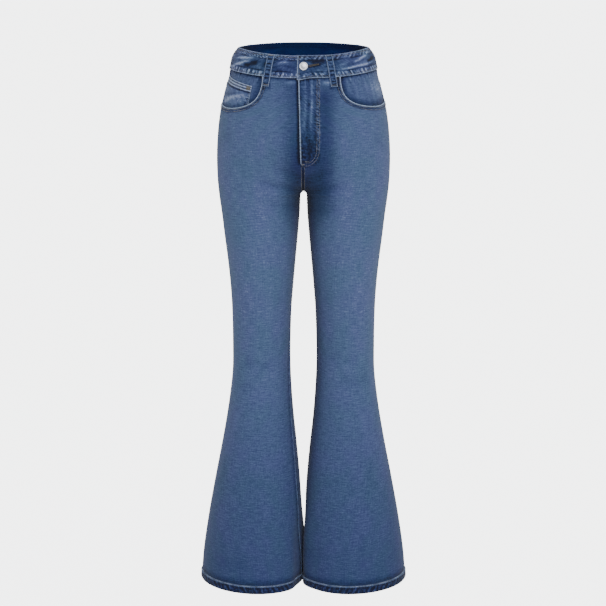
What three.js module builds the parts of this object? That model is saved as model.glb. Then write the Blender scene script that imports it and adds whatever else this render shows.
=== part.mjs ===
// Flared five-pocket jeans, high in the waist, filled out with no wearer.
// Millimetres, +Z up. The front faces -Y and the wearer's left side is +X.
// The origin is the centre of the waist opening, level with its top edge at the side seams.
//
// Every cloth piece is a patch of one surface, the outside of the leg panels. A place on it is
// a girth and a height. The girth runs from 0 at the centre front or inseam, past 0.5 at the
// outseam, to 1 at the centre back or inseam. A lift is a distance out from that surface.

import * as THREE from "three";

// Girth sections, half-widths and depths in millimetres. Inner is the leg's inner side.
const SECTION_COLUMNS = ["height", "outer", "inner", "front", "back"];
const SECTIONS = [
  [0, 120, 0, 84, 88],
  [-10, 128.5, 0, 89, 93],
  [-20, 133.5, 0, 92, 96],
  [-38, 137, 0, 96, 100],
  [-54, 139.6, 0, 98, 103],
  [-76, 146.2, 0, 101, 108],
  [-99, 152, 0, 103, 113],
  [-121, 156.6, 0, 105, 118],
  [-155, 161, 0, 107, 125],
  [-200, 163.5, 0, 107, 129],
  [-246, 162.5, 0, 103, 122],
  [-280, 159.2, 6, 98, 111],
  [-311, 155, 7.7, 93, 102],
  [-357, 149.7, 11.5, 87, 93],
  [-404, 143.9, 15.8, 81, 87],
  [-450, 139.5, 19.7, 76, 82],
  [-497, 136.9, 23, 70, 78],
  [-568, 136, 25, 63, 73],
  [-615, 136.8, 24.7, 61, 71],
  [-663, 142, 22.3, 63, 72],
  [-711, 149.3, 18.5, 66, 74],
  [-759, 157.8, 13.6, 69, 76],
  [-832, 171.8, 7.4, 73, 79],
  [-906, 185, 3.3, 78, 82],
  [-980, 195.8, 1.4, 83, 84],
  [-1040, 200.8, 3.2, 87, 86],
].map((row) => Object.fromEntries(SECTION_COLUMNS.map((name, i) => [name, row[i]])));

// Levels of the cut, at the side seam.
const BAND_BOTTOM = -40;
const CROTCH = -271;
const HEM_TOP = -1021.5;
const HEM_BOTTOM = -1037.5;

// Shape of the seat and legs.
const HIP_SQUARENESS = 0.85;
const CROTCH_Y = 10;
const CROTCH_ARCH = 8;
const RISE_FRONT = 95;
const RISE_BACK = 130;
const HIP_START = -150;
const THIGH_END = -430;
const WAIST_DIP_FRONT = 11.7;
const WAIST_RISE_BACK = 5.3;
const WAIST_TILT_END = -160;
const HEM_DROP_INSIDE = 3;
const HEM_DROP_FRONT = 5;
const HEM_DROP_START = -800;
const FLARE_SKEW = 15;
const FLARE_START = -600;
const TWIST_START = -330;
const RIGHT_TWIST = { most: 0.08, end: -850, back: 0.042, backEnd: -1040 };
const LEFT_TWIST = { forward: 0.02, forwardEnd: -630, back: 0.051, backStart: -700 };
const LEG_LEAN = 0.26;
const LEAN_START = -860;
const LEAN_END = -960;
const LEAN_REACH = 14;
const LEAN_Y = -5;

// Cloth thickness and the room left between neighbouring pieces.
const CLOTH = 1.2;
const GAP = 0.3;
const UNDER_GAP = 0.9;
const POCKET_LIFT = 0.45;
const SEAM_GIRTH = 0.0004;
const HIP_GIRTH_LENGTH = 400;
const BAND_OUT = 1;
const BAND_IN = 1.2;
const HEM_LIFT = 1.5;

// Fly: the wearer's left front laps over the right one, with its edge past the centre line.
const FLY = {
  edgeTop: 10.5,
  edgeLow: 6.2,
  low: -205,
  end: -222,
  raise: 1.5,
  raisedTo: -197,
  flushAt: -215,
  flat: 9,
  seam: 30,
  underlap: 6,
  underlapTo: -160,
  underlapEnd: -178,
  stitchBend: -165,
};
const BAND_LAP = { under: 22, flat: 24, end: 44, sink: 1 };

// Hip pocket mouths. Start is the girth where the mouth leaves the waistband. Past the girth
// riseFrom the curve comes up again, by rise at the outseam.
const MOUTH_POWER = 3.8;
const MOUTHS = {
  left: { start: 0.143, depth: 64.7, rise: 7.9, riseFrom: 0.3 },
  right: { start: 0.164, depth: 69, rise: 7.8, riseFrom: 0.3 },
};

// Seam between yoke and back panel, and the patch pocket under it.
const YOKE = { side: -72, centre: -112 };
const BACK_POCKET = {
  girth: 0.795,
  halfTop: 0.134,
  halfLow: 0.116,
  top: -121,
  height: 112,
  point: 15,
};

const DENIM = 0x506489;
const COLOURS = {
  panel: DENIM,
  yoke: 0x4b5f85,
  band: 0x46587a,
  pocket: 0x5a6e92,
  fly: 0x3b5278,
  hem: 0x384b6e,
  loop: 0x4e6184,
  tape: 0x1e2c4a,
  metal: 0xc6ccd2,
};

const clamp01 = (t) => Math.min(1, Math.max(0, t));
const smooth = (t) => clamp01(t) ** 2 * (3 - 2 * clamp01(t));
const mix = (a, b, t) => a + (b - a) * t;
const steps = (count) => Array.from({ length: count + 1 }, (_, i) => i / count);

// Smooth interpolation of the section table, with each slope taken from the rows beside it.
function sectionAt(height) {
  const last = SECTIONS.length - 2;
  const found = SECTIONS.findIndex((row) => row.height <= height) - 1;
  const i = found < -1 ? last : Math.min(last, Math.max(0, found));
  const [above, below] = [SECTIONS[i], SECTIONS[i + 1]];
  const before = SECTIONS[Math.max(0, i - 1)];
  const after = SECTIONS[Math.min(SECTIONS.length - 1, i + 2)];
  const span = below.height - above.height;
  const t = clamp01((height - above.height) / span);
  const result = {};
  for (const name of SECTION_COLUMNS.slice(1)) {
    const slopeAbove = (below[name] - before[name]) / (below.height - before.height);
    const slopeBelow = (after[name] - above[name]) / (after.height - above.height);
    const bend = (1 - t) * slopeAbove - t * slopeBelow;
    const chord = (below[name] - above[name]) / span;
    const excess = span * t * (1 - t) * (bend - (1 - 2 * t) * chord);
    result[name] = mix(above[name], below[name], t) + excess;
  }
  return result;
}

// Point of the surface on the wearer's left half. Above the crotch it is mirrored past the
// centre lines, and below it closes into a leg. The two blend along the crotch curve at the
// centre, and more slowly from hip to thigh at the sides.
function bodyPoint(girth, height) {
  if (height > CROTCH && (girth < 0 || girth > 1)) {
    const [x, y, z] = bodyPoint(girth < 0 ? -girth : 2 - girth, height);
    return [-x, y, z];
  }
  const { outer, inner, front, back } = sectionAt(height);
  const angle = Math.PI * girth;
  const across = Math.sin(angle);
  const along = Math.cos(angle);
  const around = Math.sin(2 * angle);

  const archDepth = clamp01((CROTCH - height) / CROTCH_ARCH);
  const inside = height < CROTCH ? inner * Math.sqrt(1 - (1 - archDepth) ** 2) : 0;
  const flare = smooth((FLARE_START - height) / (FLARE_START - HEM_BOTTOM));
  const legX = mix(inside, outer, across ** 2) - FLARE_SKEW * flare * around;
  const legY = CROTCH_Y * along ** 2 - around * (around > 0 ? front : back);
  const hipX = outer * Math.abs(across) ** HIP_SQUARENESS;
  const hipY = -along * (along > 0 ? front : back);

  const rise = mix(RISE_FRONT, RISE_BACK, (1 - along) / 2);
  const climb = clamp01((height - CROTCH) / rise);
  const hipCentre = Math.sqrt(1 - (1 - climb) ** 2);
  const hipSide = smooth((height - THIGH_END) / (HIP_START - THIGH_END));
  const hip = mix(hipCentre, hipSide, smooth(across / 0.42));

  const tilt = along > 0 ? -WAIST_DIP_FRONT : WAIST_RISE_BACK;
  const waistFade = smooth((height - WAIST_TILT_END) / (BAND_BOTTOM - WAIST_TILT_END));
  const hemFade = smooth((HEM_DROP_START - height) / (HEM_DROP_START - HEM_BOTTOM));
  const hemDrop = HEM_DROP_INSIDE * along ** 2 + HEM_DROP_FRONT * Math.max(0, around);
  const level = height + tilt * along ** 2 * waistFade - hemDrop * hemFade;
  return [mix(legX, hipX, hip), mix(legY, hipY, hip), level];
}

// The cut of the twill turns both legs below the thigh. The right inseam comes round to the
// front, and half of the way back by the hem. The left one comes round a little at the knee,
// and goes to the back at the hem.
function turnedGirth({ side, girth, height }) {
  const down = (from, to) => smooth((from - height) / (from - to));
  if (side < 0) {
    const { most, end, back, backEnd } = RIGHT_TWIST;
    return girth + most * down(TWIST_START, end) - back * down(end, backEnd);
  }
  const forward = LEFT_TWIST.forward * down(TWIST_START, LEFT_TWIST.forwardEnd);
  return girth + forward - LEFT_TWIST.back * down(LEFT_TWIST.backStart, HEM_BOTTOM);
}

// Near the hems the legs meet on a slanting plane: each point by the centre line moves across
// it in proportion to its depth.
function leanAcross(point) {
  const fade = smooth((LEAN_START - point.z) / (LEAN_START - LEAN_END));
  const near = Math.exp(-((point.x / LEAN_REACH) ** 2));
  point.x += LEG_LEAN * (point.y - LEAN_Y) * fade * near;
}

// Place, outward direction and distance from the centre line of a spot of the surface.
function surfaceAt(spot) {
  const girth = turnedGirth(spot);
  const [girthStep, heightStep] = [0.002, 0.4];
  const vector = (g, h) => new THREE.Vector3(...bodyPoint(g, h));
  const alongGirth = vector(girth + girthStep, spot.height);
  alongGirth.sub(vector(girth - girthStep, spot.height));
  const alongHeight = vector(girth, spot.height + heightStep);
  alongHeight.sub(vector(girth, spot.height - heightStep));
  const mirror = new THREE.Vector3(spot.side, 1, 1);
  const normal = alongGirth.cross(alongHeight).normalize().multiply(mirror);
  return { point: vector(girth, spot.height).multiply(mirror), normal };
}

// Girth above the crotch at a distance from the centre line.
function girthAt(x, height) {
  const share = Math.min(1, Math.abs(x) / sectionAt(height).outer);
  return (Math.sign(x) * Math.asin(share ** (1 / HIP_SQUARENESS))) / Math.PI;
}

// A piece of cloth: a grid of spots with an outer and an inner lift, closed along its edges.
// The grid may wrap into a ring. Limit is the least distance past the centre line.
function cloth(name, colour, grid, outer, inner, { wrap = false, limit = null } = {}) {
  const rows = grid.length;
  const columns = grid[0].length;
  const points = [];
  for (const lift of [outer, inner]) {
    for (const spot of grid.flat()) {
      const { point, normal } = surfaceAt(spot);
      const amount = typeof lift === "function" ? lift(spot, point.x) : lift;
      point.addScaledVector(normal, amount);
      if (limit) point.x = spot.side * Math.max(spot.side * point.x, limit(spot.height));
      leanAcross(point);
      points.push(point);
    }
  }
  const at = (layer, r, c) => layer * rows * columns + r * columns + (c % columns);
  const triangles = [];
  const quad = (a, b, c, d) => triangles.push(a, b, c, a, c, d);
  for (let r = 0; r < rows - 1; r++) {
    for (let c = 0; c < columns - (wrap ? 0 : 1); c++) {
      quad(at(0, r, c), at(0, r + 1, c), at(0, r + 1, c + 1), at(0, r, c + 1));
      quad(at(1, r, c), at(1, r, c + 1), at(1, r + 1, c + 1), at(1, r + 1, c));
    }
  }
  for (let c = 0; c < columns - (wrap ? 0 : 1); c++) {
    quad(at(0, 0, c), at(0, 0, c + 1), at(1, 0, c + 1), at(1, 0, c));
    quad(at(0, rows - 1, c), at(1, rows - 1, c), at(1, rows - 1, c + 1), at(0, rows - 1, c + 1));
  }
  for (let r = 0; r < rows - 1 && !wrap; r++) {
    const end = columns - 1;
    quad(at(0, r, 0), at(1, r, 0), at(1, r + 1, 0), at(0, r + 1, 0));
    quad(at(0, r, end), at(0, r + 1, end), at(1, r + 1, end), at(1, r, end));
  }
  return solid(name, colour, points, triangles);
}

// Mesh from points and triangles, turned so that its faces point out.
function solid(name, colour, points, triangles, metalness = 0) {
  const corner = (i) => points[triangles[i]];
  let volume = 0;
  for (let i = 0; i < triangles.length; i += 3) {
    volume += corner(i).dot(corner(i + 1).clone().cross(corner(i + 2)));
  }
  const facingOut = volume > 0 ? triangles : [...triangles].reverse();
  const geometry = new THREE.BufferGeometry().setFromPoints(points);
  geometry.setIndex(facingOut);
  return named(name, colour, geometry, metalness);
}

function named(name, colour, geometry, metalness = 0) {
  const roughness = metalness ? 0.35 : 0.9;
  const material = new THREE.MeshStandardMaterial({ color: colour, roughness, metalness });
  const mesh = new THREE.Mesh(geometry, material);
  mesh.name = name;
  return mesh;
}

// Rectangle of cloth between two girths and two heights.
function grid(side, [girthFrom, girthTo, columns], [top, bottom, rows]) {
  const line = (height) =>
    steps(columns).map((t) => ({ side, girth: mix(girthFrom, girthTo, t), height }));
  return steps(rows).map((t) => line(mix(top, bottom, t)));
}

// Distance of the fly edge past the centre line, and how far the right front runs under it.
function flyEdge(height) {
  const lean = mix(FLY.edgeTop, FLY.edgeLow, clamp01(height / FLY.low));
  return lean * falling(height, FLY.low, FLY.end);
}
const falling = (value, from, to) => 1 - smooth((value - from) / (to - from));
const underlap = (height) => FLY.underlap * falling(height, FLY.underlapTo, FLY.underlapEnd);
const flyLift = (spot, x) =>
  FLY.raise * falling(spot.height, FLY.raisedTo, FLY.flushAt) * falling(x, FLY.flat, FLY.seam);

// Least distance past the centre line of the front panel on either side.
const frontLimit = {
  left: (height) => GAP / 2 - flyEdge(height),
  right: (height) => GAP / 2 + flyEdge(height) - underlap(height),
};

// Spots at even distances along a hip pocket mouth, from the waistband to the outseam.
function mouthSpots(mouth, count) {
  const curve = new THREE.Curve();
  curve.getPoint = (t) => {
    const angle = (t * Math.PI) / 2;
    const girth = 0.5 - (0.5 - mouth.start) * Math.cos(angle) ** (2 / MOUTH_POWER);
    const drop = mouth.depth * Math.sin(angle) ** (2 / MOUTH_POWER);
    const rise = mouth.rise * clamp01((girth - mouth.riseFrom) / (0.5 - mouth.riseFrom)) ** 2;
    return new THREE.Vector2(girth * HIP_GIRTH_LENGTH, BAND_BOTTOM - GAP - drop + rise);
  };
  return curve.getSpacedPoints(count).map(({ x, y }) => {
    return { girth: Math.min(x / HIP_GIRTH_LENGTH, 0.5 - SEAM_GIRTH), height: y };
  });
}

// Heights of the rows of a leg panel, close together round the crotch.
const HIP_ROWS = [-166, -182, -198, -212];
const CROTCH_ROWS = [50, 34, 20, 10, 4, 1, 0, -1.5, -4, -8, -16].map((rise) => CROTCH + rise);
const LEG_ROWS = [
  -310, -345, -390, -440, -490, -540, -590, -640, -690, -740, -790, -840, -890, -940, -985,
  HEM_TOP + GAP,
];
const MOUTH_ROWS = 12;
const MOUTH_LOW_INSIDE = -150;
const SLANT_END = -212;
const PANEL_COLUMNS = 12;

// Girths across a front panel. Above the crotch two columns follow the bend of the fly.
function frontGirths(height, start, end) {
  const flat = girthAt(FLY.flat, height);
  const seam = girthAt(FLY.seam, height);
  const beyond = steps(PANEL_COLUMNS - 2).map((t) => mix(seam, end, t));
  const fade = smooth((height - CROTCH - 10) / 50);
  return [start, flat, ...beyond].map((girth, i) => {
    return mix(mix(start, end, i / PANEL_COLUMNS), girth, fade);
  });
}

function frontPanel(name, side, mouth, limit) {
  const row = (insideHeight, end) => {
    const from = insideHeight > FLY.end ? girthAt(limit(insideHeight), insideHeight) : 0;
    const start = insideHeight < CROTCH ? SEAM_GIRTH : from;
    return frontGirths(insideHeight, start, end.girth).map((girth) => {
      const t = (girth - start) / (end.girth - start);
      return { side, girth, height: mix(insideHeight, end.height, t) };
    });
  };
  const mouthRows = mouthSpots(mouth, MOUTH_ROWS).map((end, i) => {
    return row(mix(BAND_BOTTOM - GAP, MOUTH_LOW_INSIDE, i / MOUTH_ROWS), end);
  });
  const slant = BAND_BOTTOM - GAP - mouth.depth + mouth.rise - MOUTH_LOW_INSIDE;
  const lowerRows = [...HIP_ROWS, ...CROTCH_ROWS, ...LEG_ROWS].map((height) => {
    const drop = slant * falling(height, MOUTH_LOW_INSIDE, SLANT_END);
    return row(height, { girth: 0.5 - SEAM_GIRTH, height: height + drop });
  });
  const outer = side > 0 ? flyLift : 0;
  const inner = side > 0 ? (spot, x) => flyLift(spot, x) - CLOTH : -CLOTH;
  return cloth(name, COLOURS.panel, [...mouthRows, ...lowerRows], outer, inner, { limit });
}

const yokeSeam = (girth) => mix(YOKE.side, YOKE.centre, (girth - 0.5) / 0.5);
const seatLimit = () => GAP / 2;

function backPanel(name, side) {
  const middle = mix(YOKE.side, YOKE.centre, 0.5);
  const heights = [middle, -108, -126, -146, ...HIP_ROWS, ...CROTCH_ROWS, ...LEG_ROWS];
  const rows = heights.map((height) =>
    steps(PANEL_COLUMNS).map((t) => {
      const girth = mix(0.5 + SEAM_GIRTH, 1 - (height < CROTCH ? SEAM_GIRTH : 0), t);
      const seam = (yokeSeam(girth) - GAP / 2 - middle) * falling(height, middle, SLANT_END);
      return { side, girth, height: height + seam };
    }),
  );
  return cloth(name, COLOURS.panel, rows, 0, -CLOTH, { limit: seatLimit });
}

function yoke(name, side) {
  const rows = steps(4).map((down) =>
    steps(PANEL_COLUMNS).map((t) => {
      const girth = mix(0.5 + SEAM_GIRTH, 1, t);
      const height = mix(BAND_BOTTOM - GAP, yokeSeam(girth) + GAP / 2, down);
      return { side, girth, height };
    }),
  );
  return cloth(name, COLOURS.yoke, rows, 0, -CLOTH, { limit: seatLimit });
}

// Waistband: one strip from its end over the fly, round the back, to its end under the fly.
function waistband() {
  const columns = [];
  const overEnd = girthAt(-FLY.edgeTop, 0);
  for (const t of steps(30)) columns.push([1, mix(overEnd, 1, t)]);
  for (const t of steps(30).slice(1)) columns.push([-1, mix(1, girthAt(-BAND_LAP.under, 0), t)]);
  const rows = [0, -7, -16, -28, BAND_BOTTOM].map((height) =>
    columns.map(([side, girth]) => ({ side, girth, height })),
  );
  const lift = (spot, x) => {
    if (spot.girth > 0.5) return 0;
    const over = falling(x, BAND_LAP.flat, BAND_LAP.end);
    const under = falling(-x, BAND_LAP.flat, BAND_LAP.end);
    return spot.side > 0 ? FLY.raise * over : -BAND_LAP.sink * under;
  };
  const outer = (spot, x) => lift(spot, x) + BAND_OUT;
  const inner = (spot, x) => lift(spot, x) - BAND_IN;
  return cloth("waistband", COLOURS.band, rows, outer, inner);
}

// Facing that shows inside a hip pocket mouth and runs on behind the front panel.
function pocketFacing(name, side, outerLift) {
  const [reach, depth, cutShort] = [0.385, 84, 0.96];
  const rows = steps(7).map((t) => {
    const down = cutShort * t;
    const edge = 0.5 - reach * (1 - down ** 3) ** (1 / 3);
    const height = BAND_BOTTOM - GAP - depth * down;
    return steps(10).map((c) => ({ side, girth: mix(edge, 0.5 - SEAM_GIRTH, c), height }));
  });
  return cloth(name, COLOURS.pocket, rows, outerLift, outerLift - CLOTH);
}

// Coin pocket on the right facing, with its top edge sloping down towards the front.
function coinPocket(outerLift) {
  const [innerGirth, topSide, topInner, bottom] = [0.218, -52, -60.5, -119];
  const rows = steps(5).map((down) =>
    steps(6).map((t) => {
      const girth = mix(innerGirth, 0.5 - SEAM_GIRTH, t);
      return { side: -1, girth, height: mix(mix(topInner, topSide, t), bottom, down) };
    }),
  );
  return cloth("coin_pocket", COLOURS.pocket, rows, outerLift, outerLift - CLOTH);
}

// Patch pocket with five corners, narrower at the bottom.
function backPocket(name, side) {
  const rows = steps(8).map((down) =>
    steps(10).map((t) => {
      const across = 2 * t - 1;
      const half = mix(BACK_POCKET.halfTop, BACK_POCKET.halfLow, down);
      const point = BACK_POCKET.point * (1 - Math.abs(across)) * down;
      const height = BACK_POCKET.top - BACK_POCKET.height * down - point;
      return { side, girth: BACK_POCKET.girth + across * half, height };
    }),
  );
  return cloth(name, COLOURS.panel, rows, POCKET_LIFT + CLOTH, POCKET_LIFT);
}

// Strip along the fly between two distances from the centre line.
function flyStrip(name, colour, [left, right], [top, bottom, rows], [outer, inner]) {
  const strip = steps(rows).map((t) => {
    const height = mix(top, bottom, t);
    const end = typeof right === "function" ? right(height) : right;
    return steps(4).map((c) => {
      const x = mix(left, end, c);
      return { side: 1, girth: girthAt(x, height), height };
    });
  });
  return cloth(name, colour, strip, outer, inner);
}

// Outer line of the fly shield: straight down, then a quarter ellipse in to the centre.
function shieldEdge(height) {
  const [atTop, atEnd, share] = [FLY.seam - 3, 2, 0.97];
  const down = share * clamp01((FLY.stitchBend - height) / (FLY.stitchBend - FLY.low));
  return mix(atEnd, atTop, Math.sqrt(1 - down ** 2));
}

// Under the flap lie the zip and, innermost, the shield that runs behind it.
const ZIP = { tape: 0.6, tapeX: [-16, 14], tapeEnd: -178, room: 0.4 };
const SLIDER = { x: [0.5, 7.5], heights: [-46, -56, 1] };
const PULL = { x: [1.5, 6.5], heights: [-56.3, -80, 3], outer: -0.5 };
const SHIELD = { x: [-18, shieldEdge], low: -203 };

function flyPieces() {
  const top = BAND_BOTTOM - 1;
  const tape = -CLOTH - ZIP.room;
  const shield = tape - ZIP.tape - ZIP.room;
  const slider = FLY.raise - CLOTH - ZIP.room;
  const { tape: thickness, tapeX, tapeEnd } = ZIP;
  return [
    flyStrip("zip_tape", COLOURS.tape, tapeX, [top, tapeEnd, 10], [tape, tape - thickness]),
    flyStrip("zip_slider", COLOURS.metal, SLIDER.x, SLIDER.heights, [slider, -CLOTH]),
    flyStrip("zip_pull", COLOURS.metal, PULL.x, PULL.heights, [PULL.outer, -CLOTH]),
    flyStrip("fly_shield", COLOURS.fly, SHIELD.x, [top, SHIELD.low, 14], [shield, shield - CLOTH]),
  ];
}

// Belt loop: a strip over the waistband, sewn at its top edge and just below its seam.
const LOOP = { half: 6, top: -1, bottom: -58, bulge: 2, cloth: 1.4 };

function beltLoop(name, side, xTop, xBottom) {
  const rows = steps(9).map((t) => {
    const height = mix(LOOP.top, LOOP.bottom, t);
    const x = mix(xTop, xBottom, t);
    return steps(3).map((c) => {
      const edge = x + mix(-LOOP.half, LOOP.half, c);
      return { side, girth: girthAt(edge, height), height };
    });
  });
  return loopCloth(name, rows);
}

function backLoop(name, side, girth) {
  const half = LOOP.half / HIP_GIRTH_LENGTH;
  const rows = grid(side, [girth - half, girth + half, 3], [LOOP.top, LOOP.bottom, 9]);
  return loopCloth(name, rows);
}

// The centre back loop lies across the centre line, its edges at equal distances from it.
function centreLoop(name) {
  const rows = steps(9).map((t) => {
    const height = mix(LOOP.top, LOOP.bottom, t);
    return steps(3).map((c) => {
      const girth = 1 + girthAt(mix(-LOOP.half, LOOP.half, c), height);
      return { side: 1, girth, height };
    });
  });
  return loopCloth(name, rows);
}

function loopCloth(name, rows) {
  const seat = (spot) => mix(0, BAND_OUT, smooth((spot.height - BAND_BOTTOM + 5) / 5));
  const bulge = (spot) => {
    const t = clamp01((LOOP.top - spot.height) / (LOOP.top - BAND_BOTTOM));
    return LOOP.bulge * Math.sin(Math.PI * t);
  };
  const inner = (spot) => GAP + seat(spot) + bulge(spot);
  return cloth(name, COLOURS.loop, rows, (spot) => inner(spot) + LOOP.cloth, inner);
}

// Shank button on the end of the waistband, a domed disc on a short neck.
function button() {
  const radius = 7.9;
  const profile = [
    [0, 0],
    [4, 0],
    [4, 0.8],
    [radius - 0.5, 0.8],
    [radius, 1.3],
    [radius, 2.2],
    [radius - 0.9, 2.9],
    [radius - 3, 3.2],
    [0, 3.4],
  ].map(([r, h]) => new THREE.Vector2(r, h));
  const mesh = named("button", COLOURS.metal, new THREE.LatheGeometry(profile, 24), 0.9);
  const spot = { side: 1, girth: 0, height: -19.5 };
  const { point, normal } = surfaceAt(spot);
  const seat = BAND_OUT + FLY.raise + GAP;
  mesh.position.copy(point.addScaledVector(normal, seat));
  mesh.quaternion.setFromUnitVectors(new THREE.Vector3(0, 1, 0), normal);
  return mesh;
}

// Turned hem: a ring of folded cloth at the end of the leg.
function hem(name, side) {
  const columns = 40;
  const rows = [HEM_TOP, HEM_BOTTOM].map((height) =>
    steps(columns)
      .slice(0, columns)
      .map((girth) => ({ side, girth, height })),
  );
  return cloth(name, COLOURS.hem, rows, HEM_LIFT, -HEM_LIFT, { wrap: true });
}

const jeans = new THREE.Group();
const underPanel = -CLOTH - UNDER_GAP;
jeans.add(
  frontPanel("front_left", 1, MOUTHS.left, frontLimit.left),
  frontPanel("front_right", -1, MOUTHS.right, frontLimit.right),
  backPanel("back_left", 1),
  backPanel("back_right", -1),
  yoke("yoke_left", 1),
  yoke("yoke_right", -1),
  waistband(),
  pocketFacing("pocket_facing_left", 1, underPanel),
  coinPocket(underPanel),
  pocketFacing("pocket_facing_right", -1, 2 * underPanel),
  backPocket("back_pocket_left", 1),
  backPocket("back_pocket_right", -1),
  ...flyPieces(),
  beltLoop("belt_loop_front_left", 1, 45.2, 56.2),
  beltLoop("belt_loop_front_right", -1, 58, 69.7),
  backLoop("belt_loop_back_left", 1, 0.7),
  backLoop("belt_loop_back_right", -1, 0.7),
  centreLoop("belt_loop_back_centre"),
  button(),
  hem("hem_left", 1),
  hem("hem_right", -1),
);

export default jeans;
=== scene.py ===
import bpy
import numpy as np
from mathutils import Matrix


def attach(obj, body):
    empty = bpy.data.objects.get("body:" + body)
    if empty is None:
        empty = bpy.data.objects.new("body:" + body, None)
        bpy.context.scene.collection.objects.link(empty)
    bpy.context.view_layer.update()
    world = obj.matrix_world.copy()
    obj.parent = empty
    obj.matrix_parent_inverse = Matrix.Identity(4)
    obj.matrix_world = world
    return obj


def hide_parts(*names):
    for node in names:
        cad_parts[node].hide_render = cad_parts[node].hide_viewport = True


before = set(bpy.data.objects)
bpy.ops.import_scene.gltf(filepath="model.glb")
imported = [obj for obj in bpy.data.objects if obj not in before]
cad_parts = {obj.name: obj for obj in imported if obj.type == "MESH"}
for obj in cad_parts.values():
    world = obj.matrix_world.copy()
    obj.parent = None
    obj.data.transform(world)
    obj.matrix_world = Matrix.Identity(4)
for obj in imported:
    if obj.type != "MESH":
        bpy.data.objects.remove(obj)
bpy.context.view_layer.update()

# Camera, light and floor. The camera is 3.3 m in front of the jeans, a little above the waist,
# and looks down on them. The floor is pale matt card, well under the hems, because a wearer
# holds the jeans up, and it sweeps up all round and overhead as a studio cove does. It has
# lights of its own, so it looks nearly white and throws nothing on the jeans. An even white
# sky and one broad lamp from the front light those softly.
CAMERA_PLACE = (-0.001, -3.3, 0.15)
CAMERA_DOWN = 10.9146
FLOOR_LEVEL = -1.35
COVE_REACH = 60
COVE_TURNS = 96


def linear(code):
    """sRGB hex colour as linear red, green, blue and alpha 1: v/12.92, or ((v+0.055)/1.055)^2.4."""
    v = np.array([int(code[i:i + 2], 16) for i in (1, 3, 5)]) / 255
    return (*np.where(v <= 0.04045, v / 12.92, ((v + 0.055) / 1.055) ** 2.4), 1)


def add_node(tree, kind, sockets=None, **settings):
    """Adds a node, changes its settings, and sets or links each socket given by name or number."""
    made = tree.nodes.new(kind)
    for name, value in settings.items():
        setattr(made, name, value)
    for name, value in (sockets or {}).items():
        if isinstance(value, bpy.types.NodeSocket):
            tree.links.new(value, made.inputs[name])
        else:
            made.inputs[name].default_value = value
    return made


def new_material(name, **surface):
    """Empty material with a shader, whose sockets are given by name, on its output."""
    material = bpy.data.materials.new(name)
    material.use_nodes = True
    tree = material.node_tree
    tree.nodes.clear()
    sockets = {key.replace("_", " "): value for key, value in surface.items()}
    shader = add_node(tree, "ShaderNodeBsdfPrincipled", sockets)
    add_node(tree, "ShaderNodeOutputMaterial", {"Surface": shader.outputs[0]})
    return material, tree, shader


camera = bpy.data.objects.new("camera", bpy.data.cameras.new("camera"))
camera.data.sensor_width = 36
camera.data.lens = 104.094
camera.location = CAMERA_PLACE
camera.rotation_euler = (np.radians(90 - CAMERA_DOWN), 0, 0)
bpy.context.scene.collection.objects.link(camera)
bpy.context.scene.camera = camera

lamp = bpy.data.objects.new("lamp", bpy.data.lights.new("lamp", "SUN"))
lamp.data.energy = 1.5
lamp.data.angle = np.radians(50)
lamp.rotation_euler = (np.radians(52), 0, np.radians(18))
bpy.context.scene.collection.objects.link(lamp)

sky = bpy.data.worlds.new("sky")
sky.use_nodes = True
sky.node_tree.nodes["Background"].inputs["Color"].default_value = linear("#f4f5f6")
sky.node_tree.nodes["Background"].inputs["Strength"].default_value = 0.72
bpy.context.scene.world = sky

# Matt white card: a pale, even ground with no gloss. Its mottle is under one percent.
card, tree, shader = new_material(
    "matt_white_card",
    Roughness=0.95,
    Specular_IOR_Level=0.1,
    Emission_Color=linear("#f8f9fa"),
    Emission_Strength=4.3,
)
place = add_node(tree, "ShaderNodeTexCoord")
mottle = add_node(tree, "ShaderNodeTexNoise", {"Vector": place.outputs["Object"], "Scale": 0.4})
tint = add_node(tree, "ShaderNodeMix", data_type="RGBA")
tree.links.new(mottle.outputs[0], tint.inputs[0])
tint.inputs[6].default_value = linear("#e6e7e7")
tint.inputs[7].default_value = linear("#e8e9e9")
tree.links.new(tint.outputs[2], shader.inputs["Base Color"])
# The cove is a flat round floor and a quarter circle that turns up from its rim to overhead.
rise = np.linspace(0, np.pi / 2, 40)[:-1, None]
turn = np.linspace(0, 2 * np.pi, COVE_TURNS, endpoint=False)[None, :]
level = FLOOR_LEVEL + COVE_REACH * np.sin(rise) + 0 * turn
out = COVE_REACH * np.cos(rise)
rings = np.stack([out * np.cos(turn), out * np.sin(turn), level], -1)
points = np.concatenate([rings.reshape(-1, 3), [[0, 0, FLOOR_LEVEL + COVE_REACH]]])
k, j = np.arange(len(rise) - 1)[:, None] * COVE_TURNS, np.arange(COVE_TURNS)[None, :]
ahead = (j + 1) % COVE_TURNS
walls = np.stack([k + j, k + COVE_TURNS + j, k + COVE_TURNS + ahead, k + ahead], -1).reshape(-1, 4)
last = (len(rise) - 1) * COVE_TURNS
caps = np.stack([last + j.ravel(), 0 * j.ravel() + len(points) - 1, last + ahead.ravel()], -1)
floor_mesh = bpy.data.meshes.new("floor")
floor_mesh.from_pydata(points.tolist(), [], [list(range(COVE_TURNS))] + walls.tolist() + caps.tolist())
floor_mesh.polygons.foreach_set("use_smooth", np.arange(len(floor_mesh.polygons)) > 0)
floor_mesh.materials.append(card)
floor = bpy.data.objects.new("floor", floor_mesh)
bpy.context.scene.collection.objects.link(floor)
floor.visible_diffuse = floor.visible_glossy = floor.visible_shadow = False

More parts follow.
